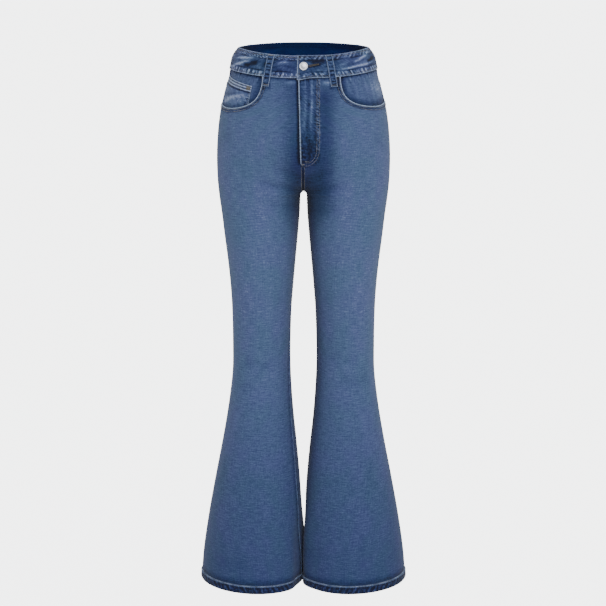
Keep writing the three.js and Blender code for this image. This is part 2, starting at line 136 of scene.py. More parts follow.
# Front panels. Each is one piece of washed blue stretch denim from waistband to hem, cut away in
# a deep scoop at the hip pocket. The wearer's left one folds over the right one as the fly.
# All cloth pieces follow one surface, in millimetres: a place on it is a side, 1 for the
# wearer's left and -1 for the right, a girth from 0 at the centre front or inseam, past 0.5 at
# the outseam, to 1 at the centre back or inseam, and a height. A lift is a distance out from it.
SECTIONS = np.array([
    # height, outer, inner, front, back
    [0, 120, 0, 84, 88],
    [-10, 128.5, 0, 89, 93],
    [-20, 133.5, 0, 92, 96],
    [-38, 137, 0, 96, 100],
    [-54, 139.6, 0, 98, 103],
    [-76, 146.2, 0, 101, 108],
    [-99, 152, 0, 103, 113],
    [-121, 156.6, 0, 105, 118],
    [-155, 161, 0, 107, 125],
    [-200, 163.5, 0, 107, 129],
    [-246, 162.5, 0, 103, 122],
    [-280, 159.2, 6, 98, 111],
    [-311, 155, 7.7, 93, 102],
    [-357, 149.7, 11.5, 87, 93],
    [-404, 143.9, 15.8, 81, 87],
    [-450, 139.5, 19.7, 76, 82],
    [-497, 136.9, 23, 70, 78],
    [-568, 136, 25, 63, 73],
    [-615, 136.8, 24.7, 61, 71],
    [-663, 142, 22.3, 63, 72],
    [-711, 149.3, 18.5, 66, 74],
    [-759, 157.8, 13.6, 69, 76],
    [-832, 171.8, 7.4, 73, 79],
    [-906, 185, 3.3, 78, 82],
    [-980, 195.8, 1.4, 83, 84],
    [-1040, 200.8, 3.2, 87, 86],
])
BAND_BOTTOM = -40
CROTCH = -271
HEM_TOP = -1021.5
HEM_BOTTOM = -1037.5
CLOTH = 1.2
GAP = 0.3
SEAM_GIRTH = 0.00005
HIP_GIRTH_LENGTH = 400
MOUTH_LOW_INSIDE = -150
SLANT_END = -212
MOUTHS = {
    1: {"start": 0.143, "depth": 64.7, "rise": 7.9},
    -1: {"start": 0.164, "depth": 69, "rise": 7.8},
}
PANEL_COLUMNS = 66
MOUTH_ROWS = 64
# Creases, as soft troughs: girth, height, slope in degrees, length, width and depth.
FRONT_CREASES = {
    1: [
        (0.045, -232, 24, 74, 6, -0.9),
        (0.075, -262, 17, 96, 8, -1.2),
        (0.09, -300, 10, 80, 9, -0.8),
        (0.2, -585, -7, 70, 9, -0.7),
        (0.28, -628, 5, 88, 11, -0.9),
        (0.33, -175, -32, 60, 8, -0.6),
        (0.14, -968, 4, 60, 12, -0.6),
    ],
    -1: [
        (0.05, -226, 28, 66, 7, -0.8),
        (0.08, -256, 19, 104, 8, -1.3),
        (0.1, -291, 12, 70, 10, -0.9),
        (0.23, -597, 6, 92, 10, -0.9),
        (0.3, -640, -5, 64, 9, -0.6),
        (0.36, -168, -28, 66, 7, -0.7),
        (0.3, -985, -6, 70, 12, -0.7),
    ],
}


def smooth(t):
    """Soft step from 0 to 1: 3t^2 - 2t^3."""
    t = np.clip(t, 0, 1)
    return t * t * (3 - 2 * t)


def falling(value, start, end):
    """Soft step from 1 at start to 0 at end."""
    return 1 - smooth((value - start) / (end - start))


def mix(a, b, t):
    """Straight blend from a to b."""
    return a + (b - a) * t


def section_at(height):
    """Outer, inner, front and back at a height: a cubic between rows of the table. The slope at
    a row is the chord between the rows beside it."""
    i = np.clip(np.searchsorted(-SECTIONS[:, 0], -height) - 1, 0, len(SECTIONS) - 2)
    above, below = SECTIONS[i], SECTIONS[i + 1]
    before, after = SECTIONS[np.maximum(i - 1, 0)], SECTIONS[np.minimum(i + 2, len(SECTIONS) - 1)]
    span = below[..., :1] - above[..., :1]
    t = np.clip((height[..., None] - above[..., :1]) / span, 0, 1)
    slope_above = (below - before) / (below[..., :1] - before[..., :1])
    slope_below = (after - above) / (after[..., :1] - above[..., :1])
    bend = (1 - t) * slope_above - t * slope_below - (1 - 2 * t) * (below - above) / span
    return np.moveaxis(mix(above, below, t) + span * t * (1 - t) * bend, -1, 0)[1:]


def body_point(girth, height):
    """Point of the wearer's left half. The hips are a squared oval, x = outer sin^0.85 and
    y = -depth cos. A leg is a closed loop, x from inner to outer by sin^2, and y = -depth sin 2a.
    Round the crotch and up the hip one blends into the other. Past the centre it is mirrored."""
    girth, height = np.broadcast_arrays(np.asarray(girth, float), np.asarray(height, float))
    past = (height > CROTCH) & ((girth < 0) | (girth > 1))
    angle = np.pi * np.where(past, np.where(girth < 0, -girth, 2 - girth), girth)
    across, along, around = np.sin(angle), np.cos(angle), np.sin(2 * angle)
    outer, inner, front, back = section_at(height)
    arch = np.clip((CROTCH - height) / 8, 0, 1)
    inside = np.where(height < CROTCH, inner * np.sqrt(1 - (1 - arch) ** 2), 0)
    flare = smooth((-600 - height) / (-600 - HEM_BOTTOM))
    leg_x = mix(inside, outer, across**2) - 15 * flare * around
    leg_y = 10 * along**2 - around * np.where(around > 0, front, back)
    hip_x = outer * np.abs(across) ** 0.85
    hip_y = -along * np.where(along > 0, front, back)
    climb = np.clip((height - CROTCH) / mix(95, 130, (1 - along) / 2), 0, 1)
    hip_centre = np.sqrt(1 - (1 - climb) ** 2)
    hip = mix(hip_centre, smooth((height + 430) / 280), smooth(across / 0.42))
    waist_tilt = np.where(along > 0, -11.7, 5.3) * along**2 * smooth((height + 160) / 120)
    hem_drop = 3 * along**2 + 5 * np.maximum(0, around)
    level = height + waist_tilt - hem_drop * smooth((-800 - height) / (-800 - HEM_BOTTOM))
    x = mix(leg_x, hip_x, hip)
    return np.stack([np.where(past, -x, x), mix(leg_y, hip_y, hip), level], -1)


def surface(side, girth, height, lift=0.0):
    """Points at a lift from the surface, and its outward directions, from the cross product of
    two short steps. Twill turns the legs below the thigh: the right inseam comes round to the
    front, then half of the way back, and the left one goes to the back at the hem."""
    side, girth, height = np.broadcast_arrays(side, girth, height)
    forward = 0.02 * smooth((-330 - height) / 300)
    back = 0.051 * smooth((-700 - height) / (-700 - HEM_BOTTOM))
    right = 0.08 * smooth((-330 - height) / 520) - 0.042 * smooth((-850 - height) / 190)
    turned = girth + np.where(side < 0, right, forward - back)
    by_girth = body_point(turned + 0.002, height) - body_point(turned - 0.002, height)
    by_height = body_point(turned, height + 0.4) - body_point(turned, height - 0.4)
    normal = np.cross(by_girth, by_height)
    normal /= np.linalg.norm(normal, axis=-1, keepdims=True)
    mirror = np.stack([side, np.ones(side.shape), np.ones(side.shape)], -1)
    normal = normal * mirror
    return body_point(turned, height) * mirror + normal * np.asarray(lift)[..., None], normal


def leaned(points):
    """By the hems the legs meet on a slanting plane: points near the centre line move across it
    in proportion to their depth, by a bell curve of the distance."""
    lean = 0.26 * smooth((-860 - points[..., 2]) / 100) * np.exp(-((points[..., 0] / 14) ** 2))
    out = points.copy()
    out[..., 0] += lean * (points[..., 1] + 5)
    return out


def girth_at(x, height):
    """Girth above the crotch at a distance from the centre line, the hip oval turned round."""
    outer = section_at(np.asarray(height, float) + 0 * np.asarray(x, float))[0]
    share = np.minimum(1, np.abs(x) / outer)
    return np.sign(x) * np.arcsin(share ** (1 / 0.85)) / np.pi


def girth_off(away, height):
    """Girth of the place at a distance from the centre line near the crotch: the nearest of
    900 steps of girth."""
    steps = np.linspace(0, 0.09, 900)
    x = body_point(steps[None, :], height[:, None])[..., 0]
    return steps[np.abs(x - np.asarray(away)[..., None]).argmin(-1)]


def leg_girth(height):
    """Length once round a leg, in millimetres, straight between four levels."""
    return np.interp(height, [-1037, -800, -600, -290], [583, 478, 384, 563])


def bell(value, middle, width):
    """Bell curve of height 1: exp of minus the square of the distance over the width."""
    return np.exp(-(((value - middle) / width) ** 2))


def ripple(along, pitch, seed):
    """Uneven waves from -1 to 1: three sines of about the pitch, with seeded phases."""
    phases = np.random.default_rng(seed).uniform(0, 2 * np.pi, 3)
    total = 0
    for size, stretch, phase in zip((1, 0.7, 0.5), (1, 1.37, 0.73), phases):
        total = total + size * np.sin(2 * np.pi * along / (pitch * stretch) + phase)
    return total / 2.2


def creased(creases, girth, height):
    """Lift from creases: each is a bell across its width that fades towards its two ends."""
    total = 0 * girth
    for place, level, slope, length, width, depth in creases:
        right, up = (girth - place) * HIP_GIRTH_LENGTH, height - level
        turn = np.radians(slope)
        along = right * np.cos(turn) + up * np.sin(turn)
        across = up * np.cos(turn) - right * np.sin(turn)
        total = total + depth * np.exp(-((across / width) ** 2)) * smooth(2 - 4 * np.abs(along) / length)
    return total


def fly_edge(height):
    """Distance of the folded fly edge past the centre line, less towards its lower end."""
    return mix(10.5, 6.2, np.clip(height / -205, 0, 1)) * falling(height, -205, -222)


def fly_lift(height, x):
    """Lift of the cloth that laps over at the fly: 1.5, running out sideways and at its end."""
    return 1.5 * falling(height, -197, -215) * falling(x, 9, 30)


def waist_drop(side, x):
    """How much lower the waist seam hangs at the fold of the fly, where the cloth laps."""
    return 3.6 * falling(x, -10.5, 15) * (side > 0)


def fly_curve(away, count):
    """Distances and heights down a row of stitches on the fly, which curves in at its foot as a
    quarter of an ellipse. Away is how far it is inside the outer row."""
    down = np.linspace(0, 1, count)
    corner = np.clip((down - 0.72) / 0.28, 0, 1) * np.pi / 2
    level = np.where(down < 0.72, mix(-43, -181, down / 0.72), -181 - (31 - away) * np.sin(corner))
    return mix(4, 29.3 - away, np.where(down < 0.72, 1, np.cos(corner))), level


def fly_limit(side, height):
    """Least distance past the centre line of a front panel, on its own side."""
    under = 6 * falling(height, -160, -178)
    room = mix(0.04, GAP / 2, falling(-height, 214, 222))
    return room - fly_edge(height) if side > 0 else room + fly_edge(height) - under


def mouth_curve(side, inset, count):
    """Girths and heights at even steps along a hip pocket mouth, moved out from the pocket by an
    inset. It is a quarter of a superellipse of power 3.8, which comes up again by a square from
    girth 0.3 on."""
    angle = np.linspace(0, np.pi / 2, 600)
    mouth = MOUTHS[side]
    right = (0.5 - (0.5 - mouth["start"]) * np.cos(angle) ** (2 / 3.8)) * HIP_GIRTH_LENGTH
    up = BAND_BOTTOM - GAP - mouth["depth"] * np.sin(angle) ** (2 / 3.8)
    up = up + mouth["rise"] * np.clip((right / HIP_GIRTH_LENGTH - 0.3) / 0.2, 0, 1) ** 2
    run = np.concatenate([[0], np.cumsum(np.hypot(np.diff(right), np.diff(up)))])
    even = np.linspace(0, run[-1], count)
    right, up = np.interp(even, run, right), np.interp(even, run, up)
    out = np.stack([np.gradient(up), -np.gradient(right)], -1)
    out /= np.linalg.norm(out, axis=-1, keepdims=True)
    girth = (right + inset * out[:, 0]) / HIP_GIRTH_LENGTH
    return np.minimum(girth, 0.5 - SEAM_GIRTH), up + inset * out[:, 1]


def from_mouth(side, girth, height):
    """Distance from the pocket mouth's curve, the least to 240 places on it."""
    place_girth, place_height = mouth_curve(side, 0, 240)
    right = (girth[..., None] - place_girth) * HIP_GIRTH_LENGTH
    return np.sqrt(right**2 + (height[..., None] - place_height) ** 2).min(-1)


def tone_with_painted_shade(side, girth, height):
    """Tone left by washing, 0 deep indigo to 1 pale, with painted shade in it. It follows the height,
    and is paler down the middle of a panel and darker along the seams, partly by the denim's own
    fading and partly as painted shade where the cloth turns away. Painted shade darkens the
    wearer's left inseam and the crotch, the cloth is darker beside the fly, and a band of painted
    shadow lies just above the hem."""
    x = surface(side, girth, height)[0][..., 0] * side
    levels = [-1040, -960, -800, -620, -420, -250, -120, 0]
    value = np.interp(height, levels, [0.44, 0.49, 0.57, 0.67, 0.72, 0.71, 0.69, 0.6])
    from_seam = np.abs(np.mod(girth, 0.5) / 0.25 - 1)
    # Darker towards the seams: partly the denim's own fading, partly painted shade where the cloth turns
    # away.
    value = value - 0.07 * smooth((from_seam - 0.5) / 0.5)
    leg = smooth((CROTCH + 60 - height) / 90)
    inseam = np.minimum(girth, 1 - girth)
    # Painted shade along the wearer's left inseam, where the legs meet.
    value = value - (0 if side < 0 else 0.36) * leg * bell(inseam, 0, 0.06)
    crotch_shade = falling(-height, 290, 400) * smooth((-height - 110) / 90)
    # Painted shade at the crotch.
    value = value - 0.26 * bell(x, 0, 26) * crotch_shade
    if side > 0:
        value = value - 0.3 * bell(x, 38, 20) * falling(-height, 240, 350) * smooth((-height - 40) / 40)
    else:
        value = value - 0.14 * bell(x, 14, 22) * falling(-height, 260, 360)
    # Painted shadow in a band just above the hem.
    return value - 0.24 * falling(height - HEM_TOP, 2, 16)


def put_in_scene(name, points, faces, materials, inner_from=None, cut=None, marks=None):
    """Object from points in millimetres and faces of four corners. From the face inner_from on
    it wears the second material. Cut gives each corner's place on the flat cloth, in metres,
    and marks are named values of the points."""
    mesh = bpy.data.meshes.new(name)
    mesh.from_pydata((points * 0.001).tolist(), [], faces.tolist())
    for material in materials:
        mesh.materials.append(material)
    mesh.polygons.foreach_set("use_smooth", np.ones(len(faces), bool))
    if inner_from is not None:
        mesh.polygons.foreach_set("material_index", (np.arange(len(faces)) >= inner_from).astype(np.int32))
    if cut is not None:
        mesh.uv_layers.new(name="cut").data.foreach_set("uv", cut.astype(np.float32).ravel())
    for key, values in (marks or {}).items():
        mark = mesh.attributes.new(key, "FLOAT", "POINT")
        mark.data.foreach_set("value", values.astype(np.float32).ravel())
    mesh.set_sharp_from_angle(angle=np.radians(55))
    mesh.update()
    made = bpy.data.objects.new(name, mesh)
    bpy.context.scene.collection.objects.link(made)
    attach(made, "root")
    return made


def cloth(name, side, girth, height, outer, inner, wash_and_painted_shade, wear, pucker, materials, limit=None, ring=False):
    """A piece of cloth: a grid of places at an outer and an inner lift, closed round its edges,
    which are rounded by a third of the wall. Down the seat and below the fly its edge slants
    through the wall, as the seams there lap. A ring joins its last column to its first. Its
    marks are the tone left by washing together with painted light and shade, how worn it is,
    and how much sewing has puckered it."""
    rows, columns = girth.shape
    side, outer, inner = (np.broadcast_to(v, girth.shape).astype(float) for v in (side, outer, inner))
    edge = np.zeros(girth.shape)
    edge[[0, -1]] = 1
    if not ring:
        edge[:, [0, -1]] = 1
    round_off = edge * (outer - inner) / 3
    layers = [surface(side, girth, height, lift)[0] for lift in (outer - round_off, inner + round_off)]
    if limit is not None:
        slant = 0.5 * side * np.where(girth > 0.5, 1, smooth((-height - 214) / 4))
        for layer, least in zip(layers, (limit(height) + slant, limit(height) - slant)):
            layer[..., 0] = side * np.maximum(side * layer[..., 0], least)
    layers = [leaned(layer) for layer in layers]
    wide = columns + 1 if ring else columns
    r, c = np.arange(rows - 1)[:, None], np.arange(wide - 1)[None, :]
    last_row, last = rows - 1, wide - 1
    groups = [
        [(0, r, c), (0, r + 1, c), (0, r + 1, c + 1), (0, r, c + 1)],
        [(0, 0 * c, c), (0, 0 * c, c + 1), (1, 0 * c, c + 1), (1, 0 * c, c)],
        [(k, last_row + 0 * c, c + step) for k, step in ((0, 0), (1, 0), (1, 1), (0, 1))],
    ]
    if not ring:
        groups.append([(0, r, 0 * r), (1, r, 0 * r), (1, r + 1, 0 * r), (0, r + 1, 0 * r)])
        groups.append([(k, r + step, last + 0 * r) for k, step in ((0, 0), (0, 1), (1, 1), (1, 0))])
    groups.append([(1, r, c), (1, r, c + 1), (1, r + 1, c + 1), (1, r + 1, c)])
    number = lambda k, a, b: ((k * rows + a) * wide + b + 0 * (a + b)).ravel()
    spots = [np.stack([number(*corner) for corner in group], -1) for group in groups]
    inner_from = sum(len(s) for s in spots[:-1])
    spots = np.concatenate(spots)
    faces = spots // wide * columns + spots % wide % columns
    points = np.concatenate([layer.reshape(-1, 3) for layer in layers])
    a, b, d = (points[faces[:, k]] for k in (0, 1, 2))
    if (a * np.cross(b, d)).sum() < 0:
        faces, spots = faces[:, ::-1], spots[:, ::-1]
    middle = np.concatenate([layers[0], layers[0][:, :1]], 1) if ring else layers[0]
    across = np.zeros((rows, wide))
    across[:, 1:] = np.cumsum(np.linalg.norm(np.diff(middle[..., :2], axis=1), axis=-1), 1)
    across -= across[:, [wide // 2]]
    up = np.concatenate([height, height[:, :1]], 1) if ring else height
    flat = np.tile(np.stack([across, up], -1).reshape(-1, 2), (2, 1)) * 0.001
    marks = {"wash_and_painted_shade": wash_and_painted_shade, "wear": wear, "pucker": pucker}
    marks = {key: np.tile((value + 0 * girth).ravel(), 2) for key, value in marks.items()}
    return put_in_scene(name, points, faces, materials, inner_from, flat[spots.ravel()], marks)


def sewn(side, girth, height, lift, pitch=3.1, gap=0.7):
    """Ends and outward directions of running stitches at even steps along a path."""
    points, normals = surface(side, girth, height, lift)
    points = leaned(points)
    run = np.concatenate([[0], np.cumsum(np.linalg.norm(np.diff(points, axis=0), axis=1))])
    count = max(1, int(run[-1] / pitch))
    start = (np.arange(count) + 0.5) * run[-1] / count - (pitch - gap) / 2
    read = lambda at, values: np.stack([np.interp(at, run, values[:, k]) for k in range(3)], -1)
    return read(start, points), read(start + pitch - gap, points), read(start, normals)


def tacked(side, girth, height, lift, width, pitch=0.75):
    """Stitches close together across a path, from one side of it to the other."""
    starts, ends, normals = sewn(side, girth, height, lift, pitch, 0)
    ahead = ends - starts
    ahead /= np.linalg.norm(ahead, axis=-1, keepdims=True)
    across = np.cross(normals, ahead) * width / 2
    middle = (starts + ends) / 2
    return middle - across, middle + across, normals


def thread(name, stitches, material, radius=0.36):
    """One mesh of all the stitches. Each is a hexagonal rod in four rings, thinner and sunk by
    a radius at its ends, and raised by half of one between them."""
    starts, ends, normals = (np.concatenate([s[k] for s in stitches]) for k in (0, 1, 2))
    share = np.array([0, 0.22, 0.78, 1])[None, :, None]
    rise = np.array([-1, 0.5, 0.5, -1])[None, :, None] * radius
    centre = mix(starts[:, None], ends[:, None], share) + normals[:, None] * rise
    ahead = ends - starts
    ahead /= np.linalg.norm(ahead, axis=-1, keepdims=True)
    across = np.cross(normals, ahead)
    turn = np.linspace(0, 2 * np.pi, 6, endpoint=False)[None, None, :, None]
    size = radius * np.array([0.6, 1, 1, 0.6])[None, :, None, None]
    ring = across[:, None, None] * np.cos(turn) + normals[:, None, None] * np.sin(turn)
    points = (centre[:, :, None] + size * ring).reshape(-1, 3)
    k, j = np.arange(3)[:, None], np.arange(6)[None, :]
    sides = np.stack([k * 6 + j, k * 6 + (j + 1) % 6, k * 6 + 6 + (j + 1) % 6, k * 6 + 6 + j], -1)
    caps = np.array([[0, 3, 2, 1], [0, 5, 4, 3], [18, 19, 20, 21], [18, 21, 22, 23]])
    one = np.concatenate([sides.reshape(-1, 4), caps])
    faces = (np.arange(len(starts))[:, None, None] * 24 + one).reshape(-1, 4)
    made = put_in_scene(name, points, faces, [material])
    return made


def denim(name, shades, worn, rough):
    """Stretch denim after washing: matt twill with a soft cotton sheen. Blue warp threads and pale
    weft give it short streaks along the weft and fine slubs down the warp. Where sewing draws
    it up, washing leaves pale tops and dark hollows. Its tone follows a mark that holds painted
    light and shade as well as the fading."""
    material, tree, shader = new_material(
        name, Roughness=rough, Specular_IOR_Level=0.28, Sheen_Weight=0.12, Sheen_Roughness=0.5
    )
    cut = add_node(tree, "ShaderNodeUVMap", uv_map="cut").outputs[0]
    wash_and_painted_shade, wear, pucker = (
        add_node(tree, "ShaderNodeAttribute", attribute_name=mark).outputs["Fac"]
        for mark in ("wash_and_painted_shade", "wear", "pucker")
    )
    # Width and height of a patch in metres, detail, and how much it changes the shade. Real
    # slubs are about 1 mm wide, and the streaks of weft 0.5 mm high. Here they are 1.5 and 2.
    patterns = [
        (0.06, 0.09, 2, 0.16),
        (0.016, 0.0021, 3, 0.42),
        (0.0015, 0.03, 2, 0.2),
        (0.0032, 0.0026, 1, 0.26),
    ]
    total = sum(pattern[3] for pattern in patterns)
    value = add_node(tree, "ShaderNodeMath", {0: wash_and_painted_shade, 1: -total / 2}, operation="ADD").outputs[0]
    fine = []
    for width, tall, detail, strength in patterns:
        size = {"Vector": cut, "Scale": (1 / width, 1 / tall, 1)}
        scaled = add_node(tree, "ShaderNodeMapping", size)
        noise = {"Vector": scaled.outputs[0], "Scale": 1, "Detail": detail, "Roughness": 0.6}
        patch = add_node(tree, "ShaderNodeTexNoise", noise, noise_dimensions="2D").outputs[0]
        fine.append(patch)
        sums = {0: patch, 1: strength, 2: value}
        value = add_node(tree, "ShaderNodeMath", sums, operation="MULTIPLY_ADD").outputs[0]
    # Puckers by a seam are 4 mm wide and 6 mm high.
    gathers = add_node(tree, "ShaderNodeMapping", {"Vector": cut, "Scale": (1 / 0.004, 1 / 0.006, 1)})
    noise = {"Vector": gathers.outputs[0], "Scale": 1, "Detail": 2, "Roughness": 0.6}
    gathers = add_node(tree, "ShaderNodeTexNoise", noise, noise_dimensions="2D").outputs[0]
    gathers = add_node(tree, "ShaderNodeMapRange", {0: gathers, 1: 0.36, 2: 0.64, 3: -1, 4: 1})
    sums = {0: gathers.outputs[0], 1: pucker, 2: value}
    value = add_node(tree, "ShaderNodeMath", sums, operation="MULTIPLY_ADD").outputs[0]
    ramp = add_node(tree, "ShaderNodeValToRGB", {0: value})
    while len(ramp.color_ramp.elements) < len(shades):
        ramp.color_ramp.elements.new(0.5)
    for element, (at, shade) in zip(ramp.color_ramp.elements, shades):
        element.position = at
        element.color = linear(shade)
    # Abrasion shows the white core of the threads, in short broken flecks.
    flecks = add_node(tree, "ShaderNodeMapRange", {0: fine[3], 1: 0.3, 2: 0.65, 3: 0.45, 4: 1})
    amount = add_node(tree, "ShaderNodeMath", {0: wear, 1: flecks.outputs[0]}, operation="MULTIPLY")
    colour = add_node(tree, "ShaderNodeMix", {0: amount.outputs[0]}, data_type="RGBA")
    tree.links.new(ramp.outputs[0], colour.inputs[6])
    colour.inputs[7].default_value = linear(worn)
    # Indigo fades unevenly, to slate in one place and towards violet in another.
    hue = add_node(tree, "ShaderNodeMapRange", {0: fine[0], 1: 0.35, 2: 0.65, 3: 0.488, 4: 0.508})
    shifted = {"Hue": hue.outputs[0], "Color": colour.outputs[2]}
    shifted = add_node(tree, "ShaderNodeHueSaturation", shifted)
    tree.links.new(shifted.outputs[0], shader.inputs["Base Color"])
    # Twill wales climb to the right at 63 degrees, about 1 mm apart, drawn 2.4 mm apart.
    wale = {"Vector": cut, "Rotation": (0, 0, np.radians(27)), "Scale": (0.314 / 0.0024,) * 3}
    wales = add_node(tree, "ShaderNodeMapping", wale)
    sizes = {"Vector": wales.outputs[0], "Scale": 1, "Distortion": 1.2, "Detail": 1}
    twill = add_node(tree, "ShaderNodeTexWave", sizes).outputs[0]
    relief = {0: twill, 1: 0.6, 2: fine[1]}
    relief = add_node(tree, "ShaderNodeMath", relief, operation="MULTIPLY_ADD").outputs[0]
    bump = add_node(tree, "ShaderNodeBump", {"Height": relief, "Strength": 0.35, "Distance": 0.0005})
    tree.links.new(bump.outputs[0], shader.inputs["Normal"])
    return material


WASH_SHADES = [
    (0.0, "#040d2b"),
    (0.15, "#101f44"),
    (0.3, "#1f315f"),
    (0.5, "#354670"),
    (0.7, "#4e618b"),
    (0.8, "#5b6d97"),
    (1.0, "#93a2c6"),
]
face_denim = denim("washed_stretch_denim", WASH_SHADES, "#b4c6e6", 0.82)
# The wrong side is given deep navy, darker than the pale wrong side of real denim, as painted shade for the
# inside of the jeans.
INSIDE_SHADES = [(0.0, "#061d54"), (0.5, "#082664"), (1.0, "#113274")]
inside_denim_painted_dark = denim("denim_wrong_side_painted_shade", INSIDE_SHADES, "#1c3c80", 0.9)
DENIM = [face_denim, inside_denim_painted_dark]

# Core-spun polyester sewing thread: a round, slightly silky yarn, faded to ecru by the wash.
ecru_thread, tree, shader = new_material("faded_ecru_thread", Roughness=0.6, Sheen_Weight=0.2)
place = add_node(tree, "ShaderNodeTexCoord")
fade = add_node(tree, "ShaderNodeTexNoise", {"Vector": place.outputs["Object"], "Scale": 90, "Detail": 2})
shade = add_node(tree, "ShaderNodeValToRGB", {0: fade.outputs[0]})
shade.color_ramp.elements[0].position = 0.35
shade.color_ramp.elements[0].color = linear("#454d62")
shade.color_ramp.elements[1].position = 0.68
shade.color_ramp.elements[1].color = linear("#9d9a9b")
tree.links.new(shade.outputs[0], shader.inputs["Base Color"])
# Blue thread of the same kind, for the inseams and hems, where its dye has washed out to pale.
blue_thread, tree, shader = new_material("washed_blue_thread", Roughness=0.6, Sheen_Weight=0.2)
place = add_node(tree, "ShaderNodeTexCoord")
fade = add_node(tree, "ShaderNodeTexNoise", {"Vector": place.outputs["Object"], "Scale": 70, "Detail": 2})
shade = add_node(tree, "ShaderNodeValToRGB", {0: fade.outputs[0]})
shade.color_ramp.elements[0].position = 0.35
shade.color_ramp.elements[0].color = linear("#2a4074")
shade.color_ramp.elements[1].position = 0.68
shade.color_ramp.elements[1].color = linear("#6f8ec4")
tree.links.new(shade.outputs[0], shader.inputs["Base Color"])

# Golden tan thread of the same kind, for bar tacks and the buttonhole. Blue dye has dulled it.
golden_thread, tree, shader = new_material("golden_tan_thread", Roughness=0.6, Sheen_Weight=0.2)
place = add_node(tree, "ShaderNodeTexCoord")
fade = add_node(tree, "ShaderNodeTexNoise", {"Vector": place.outputs["Object"], "Scale": 160, "Detail": 2})
shade = add_node(tree, "ShaderNodeValToRGB", {0: fade.outputs[0]})
shade.color_ramp.elements[0].color = linear("#383834")
shade.color_ramp.elements[1].color = linear("#8f8060")
tree.links.new(shade.outputs[0], shader.inputs["Base Color"])

